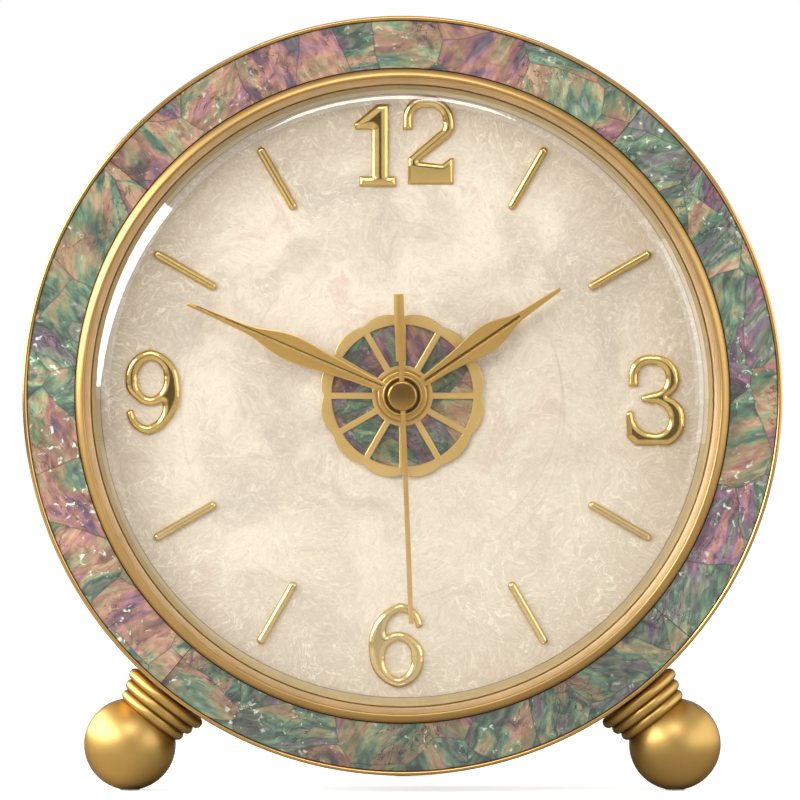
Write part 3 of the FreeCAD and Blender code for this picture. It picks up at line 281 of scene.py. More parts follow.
trial = add_relief(bmesh.new(), [SQUARE], 0.1, 0.0, lambda points, distance: distance)
print("a square with sloping sides has", len(trial.faces), "faces")
trial.free()

# %% [markdown]
# ## Materials: two small tools
# Colours are picked on screen as sRGB hex codes, and Blender works in linear light, so one function
# turns them over. The other adds a node of any kind: it sets the node up, fills its sockets with
# values or links, and hands back one output. A Map Range node's sockets 1 to 4 are its two ranges, and
# a colour Mix has its factor in socket 0, its colours in 6 and 7, and its result in output 2.

# %% Shader tools
def hue(code):
    """An sRGB hex colour as linear RGBA."""
    parts = [int(code[i:i + 2], 16) / 255 for i in (1, 3, 5)]
    return [c / 12.92 if c <= 0.04045 else ((c + 0.055) / 1.055) ** 2.4 for c in parts] + [1.0]


def add(tree, kind, sockets=None, out=0, stops=None, **settings):
    """Adds a node with its settings, its sockets and its colour stops, and gives one output."""
    made = tree.nodes.new(kind)
    for key, value in settings.items():
        setattr(made, key, value)
    for socket, value in (sockets or {}).items():
        if isinstance(value, bpy.types.NodeSocket):
            tree.links.new(value, made.inputs[socket])
        else:
            made.inputs[socket].default_value = value
    if stops:
        elements = made.color_ramp.elements
        while len(elements) < len(stops):
            elements.new(0.5)
        for element, (position, code) in zip(elements, stops):
            element.position, element.color = position, hue(code)
    return made.outputs[out] if made.outputs else made


def new_material(name):
    """An empty node material, and its tree."""
    material = bpy.data.materials.new(name)
    material.use_nodes = True
    material.node_tree.nodes.clear()
    return material, material.node_tree


def surfaced(material, kind, sockets):
    """Ends a material with its shader and its output, and gives the material back."""
    tree = material.node_tree
    add(tree, "ShaderNodeOutputMaterial", {"Surface": add(tree, kind, sockets)})
    return material


print("mid grey is", round(hue("#808080")[0], 3), "in linear light")

# %% [markdown]
# ### Patterns that several finishes share
# Places are counted in millimetres from the middle of the dial, so a noise with a scale of 0.1 has
# clouds about ten millimetres wide. A few chains of nodes come back in most finishes: a colour that
# drifts, a line where some value passes its middle, and a stain that lies where a pattern is strong
# or keeps to a few zones. Each gets a function, built on the tool above.

# %% Places in a pattern
def place_in_mm(tree, seed=None):
    """Millimetres from the middle of the dial. With a seed: across the dial only, on its own plane."""
    coords = add(tree, "ShaderNodeTexCoord", out="Object")
    centred = add(tree, "ShaderNodeVectorMath", {0: coords, 1: (DIAL_X, LIP_Y, DIAL_Z)},
                  operation="SUBTRACT")
    place = add(tree, "ShaderNodeVectorMath", {0: centred, "Scale": 1 / MM}, operation="SCALE")
    if seed is None:
        return place
    x = add(tree, "ShaderNodeSeparateXYZ", {0: place})
    return add(tree, "ShaderNodeCombineXYZ", {0: x, 1: x.node.outputs["Z"], 2: seed})


def pushed(tree, place, colour, amount):
    """The place, pushed aside by a colour times an amount, so that a pattern bends."""
    push = add(tree, "ShaderNodeVectorMath", {0: colour, "Scale": amount}, operation="SCALE")
    return add(tree, "ShaderNodeVectorMath", {0: place, 1: push}, operation="ADD")


print("patterns are centred at", [round(v, 4) for v in (DIAL_X, LIP_Y, DIAL_Z)])

# %% Drift, lines and stains
NOISE_LOW, NOISE_HIGH = 0.3, 0.7      # nearly all of a noise lies between these values


def drifting(tree, colour, noise, share):
    """A colour that a noise makes lighter and darker by that share."""
    level = add(tree, "ShaderNodeMapRange",
                {0: noise, 1: NOISE_LOW, 2: NOISE_HIGH, 3: 1 - share, 4: 1 + share})
    return add(tree, "ShaderNodeVectorMath", {0: hue(colour)[:3], "Scale": level}, operation="SCALE")


def line_at(tree, value, middle, width, strength):
    """A line of that strength and half width along the places where a value passes its middle."""
    off = add(tree, "ShaderNodeMath", {0: value, 1: middle}, operation="SUBTRACT")
    off = add(tree, "ShaderNodeMath", {0: off}, operation="ABSOLUTE")
    return add(tree, "ShaderNodeMapRange", {0: off, 1: 0.0, 2: width, 3: strength, 4: 0.0})


def stained(tree, tint, code, value, start, full, most):
    """The tint under a stain that grows from nothing to most as a value goes from start to full."""
    amount = add(tree, "ShaderNodeMapRange", {0: value, 1: start, 2: full, 3: 0.0, 4: most})
    return add(tree, "ShaderNodeMix", {0: amount, 6: tint, 7: hue(code)}, out=2, data_type="RGBA")


def stained_in_zones(tree, tint, code, amount, flat, scale, low, high):
    """The tint under a stain of that amount, only in the zones where a slow noise is high."""
    zone = add(tree, "ShaderNodeTexNoise", {"Vector": flat, "Scale": scale, "Detail": 1.0})
    zone = add(tree, "ShaderNodeMapRange", {0: zone, 1: low, 2: high, 3: 0.0, 4: 1.0})
    amount = add(tree, "ShaderNodeMath", {0: amount, 1: zone}, operation="MULTIPLY")
    return add(tree, "ShaderNodeMix", {0: amount, 6: tint, 7: hue(code)}, out=2, data_type="RGBA")


print("a noise runs from about", NOISE_LOW, "to", NOISE_HIGH)

# %% [markdown]
# ### Metals
# All the gold tones are brass. What changes is the finish: satin metal spreads a light into a soft
# band, and polished metal shows it as a hard white line. Each finish is one call with its colour, its
# roughness, and the tint that the metal takes on where the eye grazes it. Fine noise in the roughness
# and a shallow bump stand for the marks of brush and polish. Turned faces get rings instead.

# %% Brass, gold and steel
GRAIN_SIZE = 0.12      # brush marks in mm, coarser than the real ones so that they show


def metal(name, colour, roughness, edge="#FFFFFF", grain=0.03, rings=0.0, coat=0.0):
    """A metal whose roughness varies by grain, or with lathe rings that many mm apart."""
    material, tree = new_material(name)
    place = place_in_mm(tree)
    fine = add(tree, "ShaderNodeTexNoise", {"Vector": place, "Scale": 1 / GRAIN_SIZE, "Detail": 3.0})
    drift = add(tree, "ShaderNodeTexNoise", {"Vector": place, "Scale": 0.12, "Detail": 3.0})
    rough = add(tree, "ShaderNodeMapRange",
                {0: fine, 1: NOISE_LOW, 2: NOISE_HIGH, 3: roughness - grain, 4: roughness + grain})
    marks, strength, deep = fine, 0.08, 0.003 * MM
    if rings:      # a ring texture counts 20 radians to the millimetre
        marks = add(tree, "ShaderNodeTexWave", {"Vector": place, "Scale": math.tau / 20 / rings},
                    out="Fac", wave_type="RINGS", rings_direction="Y")
        strength, deep = 0.25, 0.01 * MM
    normal = add(tree, "ShaderNodeBump", {"Height": marks, "Strength": strength, "Distance": deep})
    return surfaced(material, "ShaderNodeBsdfPrincipled", {
        "Base Color": drifting(tree, colour, drift, 0.06), "Metallic": 1.0, "Roughness": rough,
        "Specular Tint": hue(edge), "Normal": normal, "Coat Weight": coat, "Coat Roughness": 0.25})


# Polished lip and drum of the case: a thin bright line with brown beside it.
rim_brass = metal("polished_rim_brass", "#B8955E", 0.16, edge="#94805C")
# Satin brass of the bezel ring, which stays tan where its round mirrors itself.
bezel_brass = metal("satin_bezel_brass", "#AC8B57", 0.34, edge="#A48C62", grain=0.02)
# Painted reflection: the bezel's inner wall is a matt brass painted pale and khaki beside the glass, for the
# lit dial that the real wall mirrors.
painted_reflection_brass = metal("painted_reflection_wall_brass", "#CBB08A", 0.55, grain=0.05)
# Brushed and lacquered feet: broad glows, and a dark edge tint that paints a dark reflection on the rim where
# the eye grazes the ball.
foot_brass = metal("satin_foot_brass", "#AE8D4C", 0.4, edge="#33271A", grain=0.05, coat=0.35)
# Polished pale gold plate on the numerals: hard white lines beside dark ones.
polished_gold = metal("polished_pale_gold", "#DDBE7E", 0.12, edge="#E0D0A8", grain=0.02)
# Brushed gold of the hands: an even warm glow.
hand_gold = metal("brushed_hand_gold", "#D8AF6A", 0.36, edge="#A8854F", grain=0.015)
# Painted light: the rosette is the hands' gold painted a little lighter, because its flat face mirrors the
# dark card.
painted_light_fret_gold = metal("brushed_fret_gold_painted_light", "#F0CB88", 0.36, edge="#B08C55", grain=0.015)
# Painted shade: a darker gold down the groove of the hour hand and on the flank of the minute hand's rib that
# lies in shade.
painted_shade_gold = metal("painted_shade_groove_gold", "#7E5A2A", 0.4)
# The turned face of the small cap: fine rings, a little darker than the hands.
cap_gold = metal("turned_cap_gold", "#BC9454", 0.2, rings=0.45)
# Painted shade: brass darkened for pieces that sit in shade under other pieces.
painted_shade_brass = metal("painted_shade_frame_brass", "#5B4528", 0.45)
# Spun back cover: rings as coarse as they need to be to show, the real ones are finer.
cover_brass = metal("spun_cover_brass", "#BE9450", 0.33, rings=0.9)
# Bright steel, dull iron and grey sheet for the works.
steel = metal("plain_steel", "#A9AAAD", 0.3)
soft_iron = metal("pressed_iron", "#86878A", 0.42)
sheet_aluminium = metal("sheet_aluminium", "#B9BBBD", 0.38)
print("metals ready:", len(bpy.data.materials))

# %% [markdown]
# ### Paua shell: the mosaic
# Paua is cut from a curved shell into slivers of one to three centimetres and laid edge to edge.
# Voronoi cells make the slivers, and the distance to their edges draws the dark joints. Each cell has
# its own random colour: it turns and shifts the pattern, so the clouds never run on across a joint.

# %% Slivers
SLIVER_SIZE = 14.0      # mm across, on the ring


def slivers(tree, size, seed):
    """The mosaic's plane, a colour per sliver, the plane moved sliver by sliver, and the joints."""
    flat = place_in_mm(tree, seed)
    wobble = add(tree, "ShaderNodeTexNoise", {"Vector": flat, "Scale": 0.1, "Detail": 1.0}, out="Color")
    bent = {"Vector": pushed(tree, flat, wobble, 3.5), "Scale": 1 / size}
    cell = add(tree, "ShaderNodeTexVoronoi", bent, out="Color", voronoi_dimensions="2D")
    joint = add(tree, "ShaderNodeTexVoronoi", bent, voronoi_dimensions="2D", feature="DISTANCE_TO_EDGE")
    pick = add(tree, "ShaderNodeSeparateColor", {"Color": cell})
    angle = add(tree, "ShaderNodeMath", {0: pick, 1: math.tau}, operation="MULTIPLY")
    spun = add(tree, "ShaderNodeVectorRotate", {"Vector": bent["Vector"], "Angle": angle},
               rotation_type="Z_AXIS")
    return flat, pick, pushed(tree, spun, cell, 90.0), joint


print("about", round(math.tau * CASE_RADIUS / SLIVER_SIZE), "slivers go round the ring")

# %% [markdown]
# ### Paua shell: the nacre
# Thin layers of nacre give green, rose, violet and sand, in soft clouds with a grain. A noise value
# picks a colour from one ramp, which ends in its first colour, so that it can run round. Large facets
# and small flecks shift that value and dim or lighten the colour, as layers at an angle do.

# %% Nacre
NACRE = [(0.0, "#586C62"), (0.1, "#719078"), (0.2, "#98A07C"), (0.3, "#AD9A7A"), (0.42, "#B69278"),
         (0.52, "#B28476"), (0.62, "#A87C84"), (0.72, "#806678"), (0.82, "#78757C"), (0.91, "#8C907E"),
         (1.0, "#586C62")]
# Facets, then flecks: scale, smoothness, shift along the ramp, dimmest and lightest.
FACETS = ((0.24, 0.4, 0.32, 0.68, 1.3), (0.8, 0.6, 0.12, 0.78, 1.22))


def nacre(tree, banded, pick, shift, tone):
    """The clouds of colour in the slivers. shift moves them along the ramp, and tone dims them."""
    tear = add(tree, "ShaderNodeTexNoise", {"Vector": banded, "Scale": 0.5, "Detail": 2.0}, out="Color")
    ragged = pushed(tree, banded, tear, 2.2)
    grain = add(tree, "ShaderNodeTexNoise",
                {"Vector": banded, "Scale": 0.9, "Detail": 4.0, "Distortion": 0.4})
    level = add(tree, "ShaderNodeMapRange",
                {0: grain, 1: NOISE_LOW, 2: NOISE_HIGH, 3: 0.74 * tone, 4: 1.24 * tone})
    own = add(tree, "ShaderNodeMath", {0: pick.node.outputs["Green"], 1: 0.5, 2: shift},
              operation="MULTIPLY_ADD")
    for scale, smoothness, step, dimmest, lightest in FACETS:
        facet = add(tree, "ShaderNodeTexVoronoi",
                    {"Vector": ragged, "Scale": scale, "Smoothness": smoothness}, out="Color",
                    voronoi_dimensions="2D", feature="SMOOTH_F1")
        facet = add(tree, "ShaderNodeSeparateColor", {"Color": facet})
        own = add(tree, "ShaderNodeMath", {0: facet, 1: step, 2: own}, operation="MULTIPLY_ADD")
        side = add(tree, "ShaderNodeMapRange",
                   {0: facet.node.outputs["Green"], 1: 0.0, 2: 1.0, 3: dimmest, 4: lightest})
        level = add(tree, "ShaderNodeMath", {0: level, 1: side}, operation="MULTIPLY")
    cloud = add(tree, "ShaderNodeTexNoise",
                {"Vector": banded, "Scale": 0.12, "Detail": 3.0, "Distortion": 0.6})
    cloud = add(tree, "ShaderNodeMapRange", {0: cloud, 1: 0.28, 2: 0.72, 3: 0.0, 4: 0.75})
    wave = add(tree, "ShaderNodeMath", {0: cloud, 1: own}, operation="ADD")
    wave = add(tree, "ShaderNodeMath", {0: wave}, operation="FRACT")
    tint = add(tree, "ShaderNodeValToRGB", {"Fac": wave}, stops=NACRE)
    return add(tree, "ShaderNodeVectorMath", {0: tint, "Scale": level}, operation="SCALE")


print("nacre runs through", len(NACRE), "colours")

# %% [markdown]
# ### Paua shell: streaks and polish
# Dark patches and streaks of horn-like layers cross the nacre, and little ridges get pale green glints, which
# are a painted highlight.
# The joints between the slivers are dark glue. A clear coat gives the polish over all of it.

# %% Paua shell
def dark_layers(tree, tint, flat, banded, moved, joint, dark):
    """The tint under horn-like patches and streaks of that strength, and under the joints."""
    patch = add(tree, "ShaderNodeTexNoise",
                {"Vector": moved, "Scale": 0.16, "Detail": 4.0, "Distortion": 1.0})
    tint = stained(tree, tint, "#33303A", patch, 0.57, 0.7, dark * 0.85)
    vein = add(tree, "ShaderNodeTexNoise",
               {"Vector": banded, "Scale": 0.3, "Detail": 3.0, "Distortion": 1.8})
    vein = line_at(tree, vein, 0.5, 0.025, dark)
    tint = stained_in_zones(tree, tint, "#1B1A22", vein, flat, 0.11, 0.44, 0.6)
    return stained(tree, tint, "#26252C", joint, 0.014, 0.003, 0.5)


def paua_shell(name, size=SLIVER_SIZE, seed=0.0, shift=0.0, tone=0.8, dark=0.8, painted_glint=0.8):
    """Polished shell mosaic with slivers of about size mm."""
    material, tree = new_material(name)
    flat, pick, moved, joint = slivers(tree, size, seed)
    banded = add(tree, "ShaderNodeMapping", {"Vector": moved, "Scale": (0.55, 1.4, 1.0)})
    tint = nacre(tree, banded, pick, shift, tone)
    tint = dark_layers(tree, tint, flat, banded, moved, joint, dark)
    ridge = add(tree, "ShaderNodeTexNoise",
                {"Vector": moved, "Scale": 0.7, "Detail": 3.0, "Distortion": 0.6})
    # painted highlight: pale green glints where the ridge noise is high
    painted_glint_mask = add(tree, "ShaderNodeMapRange", {0: ridge, 1: 0.62, 2: 0.7, 3: 0.0, 4: painted_glint})
    tint = stained_in_zones(tree, tint, "#DDEEDC", painted_glint_mask, flat, 0.07, 0.43, 0.58)
    normal = add(tree, "ShaderNodeBump", {"Height": ridge, "Strength": 0.35, "Distance": 0.25 * MM})
    return surfaced(material, "ShaderNodeBsdfPrincipled", {
        "Base Color": tint, "Roughness": 0.3, "Normal": normal,
        "Coat Weight": 0.5, "Coat Roughness": 0.08})


# The four quarters of the ring lean to different hues, as slivers from different shells do.
shell_top = paua_shell("paua_shell_rosy", seed=3.0, shift=0.5, tone=0.69, dark=0.9, painted_glint=0.5)
shell_right = paua_shell("paua_shell_mauve", seed=17.0, shift=0.24, tone=0.75)
shell_bottom = paua_shell("paua_shell_dusky", seed=29.0, shift=0.38, tone=0.53, dark=1.0, painted_glint=0.6)
shell_left = paua_shell("paua_shell_green", seed=44.0, shift=0.42, tone=0.73, painted_glint=1.0)
# The small inlay under the rosette has smaller slivers, in green and rose.
rosette_shell = paua_shell("paua_shell_rosette", size=9.0, seed=31.0, shift=0.12, tone=0.76, dark=0.6,
                           painted_glint=0.3)
print("shell has", len(shell_top.node_tree.nodes), "nodes")

# %% Quarters of the ring
quarters = {}
for name in (f"shell_inlay_{number}" for number in range(1, 5)):
    low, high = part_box(name)
    x, height = (low.x + high.x) / 2 - DIAL_X, (low.z + high.z) / 2 - DIAL_Z
    if abs(x) > abs(height):
        quarters[name] = shell_right if x > 0 else shell_left
    else:
        quarters[name] = shell_top if height > 0 else shell_bottom
print({name: material.name for name, material in quarters.items()})

# %% [markdown]
# ### Mother-of-pearl dial
# The dial sheet is cream capiz. Fine pale threads wander through cloudy patches of beige, lilac-grey and
# pink. Painted shade makes the sheet greyer towards its rim, under the bezel, and towards its lower right,
# and a faint ring shows where two sheets meet. A thread is the place where a noise crosses its middle value,
# so three noises give coarse to fine threads.

# %% Pearl
CREAM = [(0.0, "#CABCB2"), (0.3, "#DBCBC0"), (0.55, "#E9DACE"), (0.78, "#F2E4D8"), (1.0, "#E7D0C7")]
THREADS = ((0.08, 0.014, 0.6), (0.2, 0.026, 0.28), (0.5, 0.05, 0.16))      # scale, width, strength
SHEET_RINGS = ((0.0, 0.0, 32.0), (-6.0, -3.0, 38.5))                        # middle, radius in mm


def pearl(name):
    """Cream shell sheet with cloudy patches, pale threads and faint seam rings."""
    material, tree = new_material(name)
    flat = place_in_mm(tree, 0.0)
    swirl = add(tree, "ShaderNodeTexNoise", {"Vector": flat, "Scale": 0.06, "Detail": 3.0}, out="Color")
    bent = pushed(tree, flat, swirl, 22.0)
    cloud = add(tree, "ShaderNodeTexNoise",
                {"Vector": bent, "Scale": 0.055, "Detail": 6.0, "Distortion": 0.6})
    tone = add(tree, "ShaderNodeMapRange", {0: cloud, 1: NOISE_LOW, 2: NOISE_HIGH})
    tint = add(tree, "ShaderNodeValToRGB", {"Fac": tone}, stops=CREAM)
    # painted shade: the sheet greys towards its rim, where the bezel shades it
    away = add(tree, "ShaderNodeVectorMath", {0: flat, 1: (0, 0, 0)}, out="Value", operation="DISTANCE")
    tint = stained(tree, tint, "#BFAB98", away, 46.0, 61.0, 0.95)
    # painted shade: the sheet greys towards its lower right
    side = add(tree, "ShaderNodeVectorMath", {0: flat, 1: (0.6, -0.8, 0)}, out="Value",
               operation="DOT_PRODUCT")
    tint = stained(tree, tint, "#CBBBA8", side, -12.0, 52.0, 0.62)
    for scale, width, strength in THREADS:
        thread = add(tree, "ShaderNodeTexNoise",
                     {"Vector": bent, "Scale": scale, "Detail": 5.0, "Distortion": 2.2})
        thread = line_at(tree, thread, 0.5, width, strength)
        tint = stained_in_zones(tree, tint, "#FFF9EE", thread, flat, scale * 0.8, 0.4, 0.56)
    speck = add(tree, "ShaderNodeTexNoise",
                {"Vector": bent, "Scale": 1.1, "Detail": 3.0, "Distortion": 1.2})
    tint = stained(tree, tint, "#BBAD9B", speck, 0.5, 0.72, 0.3)
    tint = stained(tree, tint, "#FBF2E4", speck, 0.5, 0.3, 0.3)
    for x, height, radius in SHEET_RINGS:
        away = add(tree, "ShaderNodeVectorMath", {0: flat, 1: (x, height, 0)}, out="Value",
                   operation="DISTANCE")
        ring = line_at(tree, away, radius, 0.35, 0.25)
        tint = stained_in_zones(tree, tint, "#B59F82", ring, flat, 0.05, 0.4, 0.6)
    normal = add(tree, "ShaderNodeBump", {"Height": cloud, "Strength": 0.12, "Distance": 0.3 * MM})
    return surfaced(material, "ShaderNodeBsdfPrincipled", {
        "Base Color": tint, "Roughness": 0.38, "Normal": normal,
        "Coat Weight": 0.2, "Coat Roughness": 0.15})


pearl_sheet = pearl("cream_mother_of_pearl")
print("pearl has", len(pearl_sheet.node_tree.nodes), "nodes")

# %% [markdown]
# ### The lens
# Clear glass lets the dial through and adds a mirror-like gloss that grows towards its steep edge.
# Real refraction would need many light paths for a sheet two millimetres thick, so the shader mixes a
# see-through sheet with gloss by Fresnel, and only on the outer face, or the strip would show twice.
# The index is set above glass's 1.5, because one face here stands for both.

# %% Lens glass
def lens_glass(name):
    """Clear glass as a gloss over a see-through sheet."""
    material, tree = new_material(name)
    fresnel = add(tree, "ShaderNodeFresnel", {"IOR": 2.0})
    inner = add(tree, "ShaderNodeNewGeometry", out="Backfacing")
    outer = add(tree, "ShaderNodeMath", {0: 1.0, 1: inner}, operation="SUBTRACT")
    share = add(tree, "ShaderNodeMath", {0: fresnel, 1: outer}, operation="MULTIPLY")
    clear = add(tree, "ShaderNodeBsdfTransparent", {"Color": hue("#FCFDFB")})
    gloss = add(tree, "ShaderNodeBsdfGlossy", {"Color": hue("#FFFFFF"), "Roughness": 0.03})
    return surfaced(material, "ShaderNodeMixShader", {0: share, 1: clear, 2: gloss})


glass = lens_glass("clear_dome_glass")
print("glass ready")

# %% [markdown]
# ### Plastics, rubber and board
# Moulded and printed things have one colour that drifts a little, and a gloss of their own. They all
# share one recipe: a slow noise makes the colour a few percent lighter or darker.

# %% Simple materials
def plain(name, colour, roughness, coat=0.0):
    """A plain surface whose colour drifts a little every two millimetres."""
    material, tree = new_material(name)
    noise = add(tree, "ShaderNodeTexNoise", {"Vector": place_in_mm(tree), "Scale": 1 / 2.0, "Detail": 3.0})
    normal = add(tree, "ShaderNodeBump", {"Height": noise, "Strength": 0.1, "Distance": 0.02 * MM})
    return surfaced(material, "ShaderNodeBsdfPrincipled", {
        "Base Color": drifting(tree, colour, noise, 0.06), "Roughness": roughness, "Normal": normal,
        "Coat Weight": coat, "Coat Roughness": 0.1})


# Milky gasket under the glass, painted khaki: partly its own colour, partly a painted reflection of the bezel
# wall in the glass edge, so that it reads as a khaki band inside the bezel.
silicone = plain("cream_lens_silicone", "#BAA57A", 0.5)
# Soft clear pads under the feet.
pad_rubber = plain("translucent_pad_rubber", "#D4D2CA", 0.5)
# Moulded case of the movement: nearly black, with a soft shine.
black_plastic = plain("black_moulded_plastic", "#222326", 0.42)
# Acetal wheels: white and waxy.
white_acetal = plain("white_acetal", "#E7E3D8", 0.4)
# The bobbin and the bridge are paler than their surroundings, and a little creamier than the wheels.
bobbin_plastic = plain("pale_bobbin_plastic", "#D8D3C3", 0.45)
# Enamelled wire: red-brown under a clear gloss.
copper_enamel = plain("copper_enamel", "#A65F2C", 0.25, coat=0.6)
# Solder mask: dark green under a clear gloss.
board_green = plain("green_solder_mask", "#2A5E41", 0.3, coat=0.4)
# Printed sleeve of the battery, left bare of any mark.
battery_jacket = plain("dark_battery_jacket", "#3B3F46", 0.25, coat=0.5)
print("materials in all:", len(bpy.data.materials))

# %% [markdown]
# ## Dress the CAD nodes
# Nodes whose shape is right keep their mesh. It comes as loose triangles, so a weld joins them, and a
# small geometry-nodes group shades them smooth except at real edges. Pressed and turned pieces with
# crisp edges get a bevel of a tenth of a millimetre, because a real edge always catches a line of light.

# %% Smooth by angle
def soften_group(limit):
    """A node group that shades smooth every edge flatter than limit degrees."""
    group = bpy.data.node_groups.new("soften", "GeometryNodeTree")
    group.interface.new_socket("Geometry", in_out="INPUT", socket_type="NodeSocketGeometry")
    group.interface.new_socket("Geometry", in_out="OUTPUT", socket_type="NodeSocketGeometry")
    start = add(group, "NodeGroupInput")
    angle = add(group, "GeometryNodeInputMeshEdgeAngle", out="Unsigned Angle")
    flat = add(group, "FunctionNodeCompare", {0: angle, 1: math.radians(limit)}, data_type="FLOAT",
               operation="LESS_THAN")
    faces = add(group, "GeometryNodeSetShadeSmooth", {0: start, "Shade Smooth": True}, domain="FACE")
    edges = add(group, "GeometryNodeSetShadeSmooth", {0: faces, "Shade Smooth": flat}, domain="EDGE")
    add(group, "NodeGroupOutput", {0: edges})
    return group


soften = soften_group(30)
print("soften group has", len(soften.nodes), "nodes")

# %% Paint the nodes
FINISHES = (
    (rim_brass, ("case_drum",)),
    # painted shade on the front frame, which sits under other pieces
    (painted_shade_brass, ("front_frame",)),
    (bezel_brass, ("inner_bezel_ring",)),
    (glass, ("glass_lens",)),
    (silicone, ("lens_gasket",)),
    (pearl_sheet, ("dial_pearl",)),
    (sheet_aluminium, ("dial_backing",)),
    (rosette_shell, ("rosette_inlay",)),
    (painted_light_fret_gold, ("rosette_fret",)),
    (polished_gold, ("numeral_twelve", "numeral_three", "numeral_six", "numeral_nine", "hour_batons")),
    (hand_gold, ("mounting_washer", "mounting_nut", "hour_hand", "minute_hand", "second_hand")),
    (cap_gold, ("second_cap",)),
    (black_plastic, ("movement_front_case", "movement_rear_case", "set_knob")),
    (white_acetal, ("second_wheel", "third_wheel", "centre_wheel", "intermediate_wheel", "rotor",
                    "minute_arbor", "minute_wheel", "hour_wheel")),
    (bobbin_plastic, ("train_bridge", "coil_bobbin")),
    (soft_iron, ("stator_plate", "coil_core")),
    (copper_enamel, ("coil_winding",)),
    (board_green, ("circuit_board",)),
    (steel, ("quartz_can", "battery_contact_plus", "battery_contact_minus", "back_cover_screws",
             "foot_studs", "foot_nuts")),
    (battery_jacket, ("battery",)),
    (cover_brass, ("back_cover",)),
    (foot_brass, ("ball_feet", "rear_leg")),
    (pad_rubber, ("foot_pads",)),
)
CRISP = ("second_hand", "set_knob", "mounting_nut", "back_cover_screws", "rear_leg")
WELD, EDGE_WIDTH, EDGE_ANGLE = 0.002 * MM, 0.09 * MM, 40
paint = quarters | {name: material for material, names in FINISHES for name in names}
for name, node in nodes.items():
    node.data.materials.clear()
    node.data.materials.append(paint[name])
    node.modifiers.new("weld", "WELD").merge_threshold = WELD
    if name in CRISP:
        bevel = node.modifiers.new("bevel", "BEVEL")
        bevel.width, bevel.segments = EDGE_WIDTH, 2
        bevel.limit_method, bevel.angle_limit = "ANGLE", math.radians(EDGE_ANGLE)
    node.modifiers.new("soften", "NODES").node_group = soften
print("painted", len(nodes), "nodes")

# %% [markdown]
# ## The case
# The drum is one turning in brass, with a rolled front lip that holds the shell ring. On the real
# clock the lip shows as a thin bright line with a brown edge, so its round is drawn with a radius of
# its own. The lathe takes 360 steps, so that no flats show on the rim.

# %% Case drum
QUARTER = 1 - math.sqrt(0.5)      # how far the middle of a quarter round is from its corner
CASE_DEPTH, CASE_WALL, REAR_WALL = 29.0, 1.8, 1.2
LIP_ROUND, REAR_ROUND = 0.45, 0.8
SHELL_SEAT, REAR_OPENING = 3.6, 66.0
lip_inner, bore, rear_inner = CASE_RADIUS - 2 * LIP_ROUND, CASE_RADIUS - CASE_WALL, CASE_DEPTH - REAR_WALL
cut = REAR_ROUND * QUARTER
drum = path([(lip_inner, SHELL_SEAT), (lip_inner, LIP_ROUND),
             ((CASE_RADIUS - LIP_ROUND, 0.0), (CASE_RADIUS, LIP_ROUND)),
             (CASE_RADIUS, CASE_DEPTH - REAR_ROUND),
             ((CASE_RADIUS - cut, CASE_DEPTH - cut), (CASE_RADIUS - REAR_ROUND, CASE_DEPTH)),
             (REAR_OPENING, CASE_DEPTH), (REAR_OPENING, rear_inner), (bore, rear_inner),
             (bore, SHELL_SEAT)])
case = lathe("turned_case", drum, rim_brass, node="case_drum", slot="satin_brass")
print(case.name, len(case.data.polygons), "faces")

# %% [markdown]
# ## The bezel
# The inner ring has a round crest that catches the panels, then a wall that slopes down to the glass.
# Both are part of one profile, and a turner would cut them in one pass. The wall gets a painted reflection of
# its own, a pale matt brass, as the groove of a hand gets painted shade later, so a small function paints the
# faces whose middle is there.

# %% Bezel
def paint_faces(piece, material, chosen):
    """Gives a material to the faces whose middle, as (x, height, depth) in mm, is chosen."""
    piece.data.materials.append(material)
    painted = 0
    for face in piece.data.polygons:
        x, depth, height = (face.center - at(0, 0, 0)) / MM
        if chosen(x, height, depth):
            face.material_index = len(piece.data.materials) - 1
            painted += 1
    print(piece.name, painted, "faces in", material.name)


FLANGE_RADIUS, BODY_RADIUS, LENS_BORE, LEDGE_BORE = 65.4, 64.5, 62.4, 60.6
FLANGE_DEPTH, LEDGE_DEPTH, BEZEL_DEPTH = 1.4, 5.6, 6.4
CREST, WALL_TOP, WALL_FOOT, BORE_TOP = (64.05, -0.76), (63.6, -0.38), (62.6, 0.95), (LENS_BORE, 1.3)
bezel = path([(FLANGE_RADIUS, FLANGE_DEPTH), (FLANGE_RADIUS, 0.15), ((64.87, -0.4), CREST),
              ((63.82, -0.72), WALL_TOP), WALL_FOOT, ((62.45, 1.1), BORE_TOP),
              (LENS_BORE, LEDGE_DEPTH), (LEDGE_BORE, LEDGE_DEPTH), (LEDGE_BORE, BEZEL_DEPTH),
              (BODY_RADIUS, BEZEL_DEPTH), (BODY_RADIUS, FLANGE_DEPTH)], count=8)
bezel = lathe("turned_bezel", bezel, bezel_brass, node="inner_bezel_ring", slot="satin_brass")
LAP = 0.01      # a finish reaches this far over the edge of its place
# painted reflection on the wall: the pale matt brass
paint_faces(bezel, painted_reflection_brass, lambda x, height, depth:
            math.hypot(x, height) < WALL_TOP[0] + LAP and depth < BORE_TOP[1])

# %% [markdown]
# ## The glass
# The lens is slumped glass: nearly flat over the dial, with a steep rounded edge that carries the
# curved white reflections. Outer and inner face are two arcs each, two millimetres apart.

# %% Lens
LENS_RADIUS, LENS_THICK, LENS_DEPTH = 62.3, 2.0, 5.2
APEX, MIDWAY, SHOULDER, SHOULDER_ROUND = -3.3, -3.05, -2.3, 4.0      # depths of the dome's face


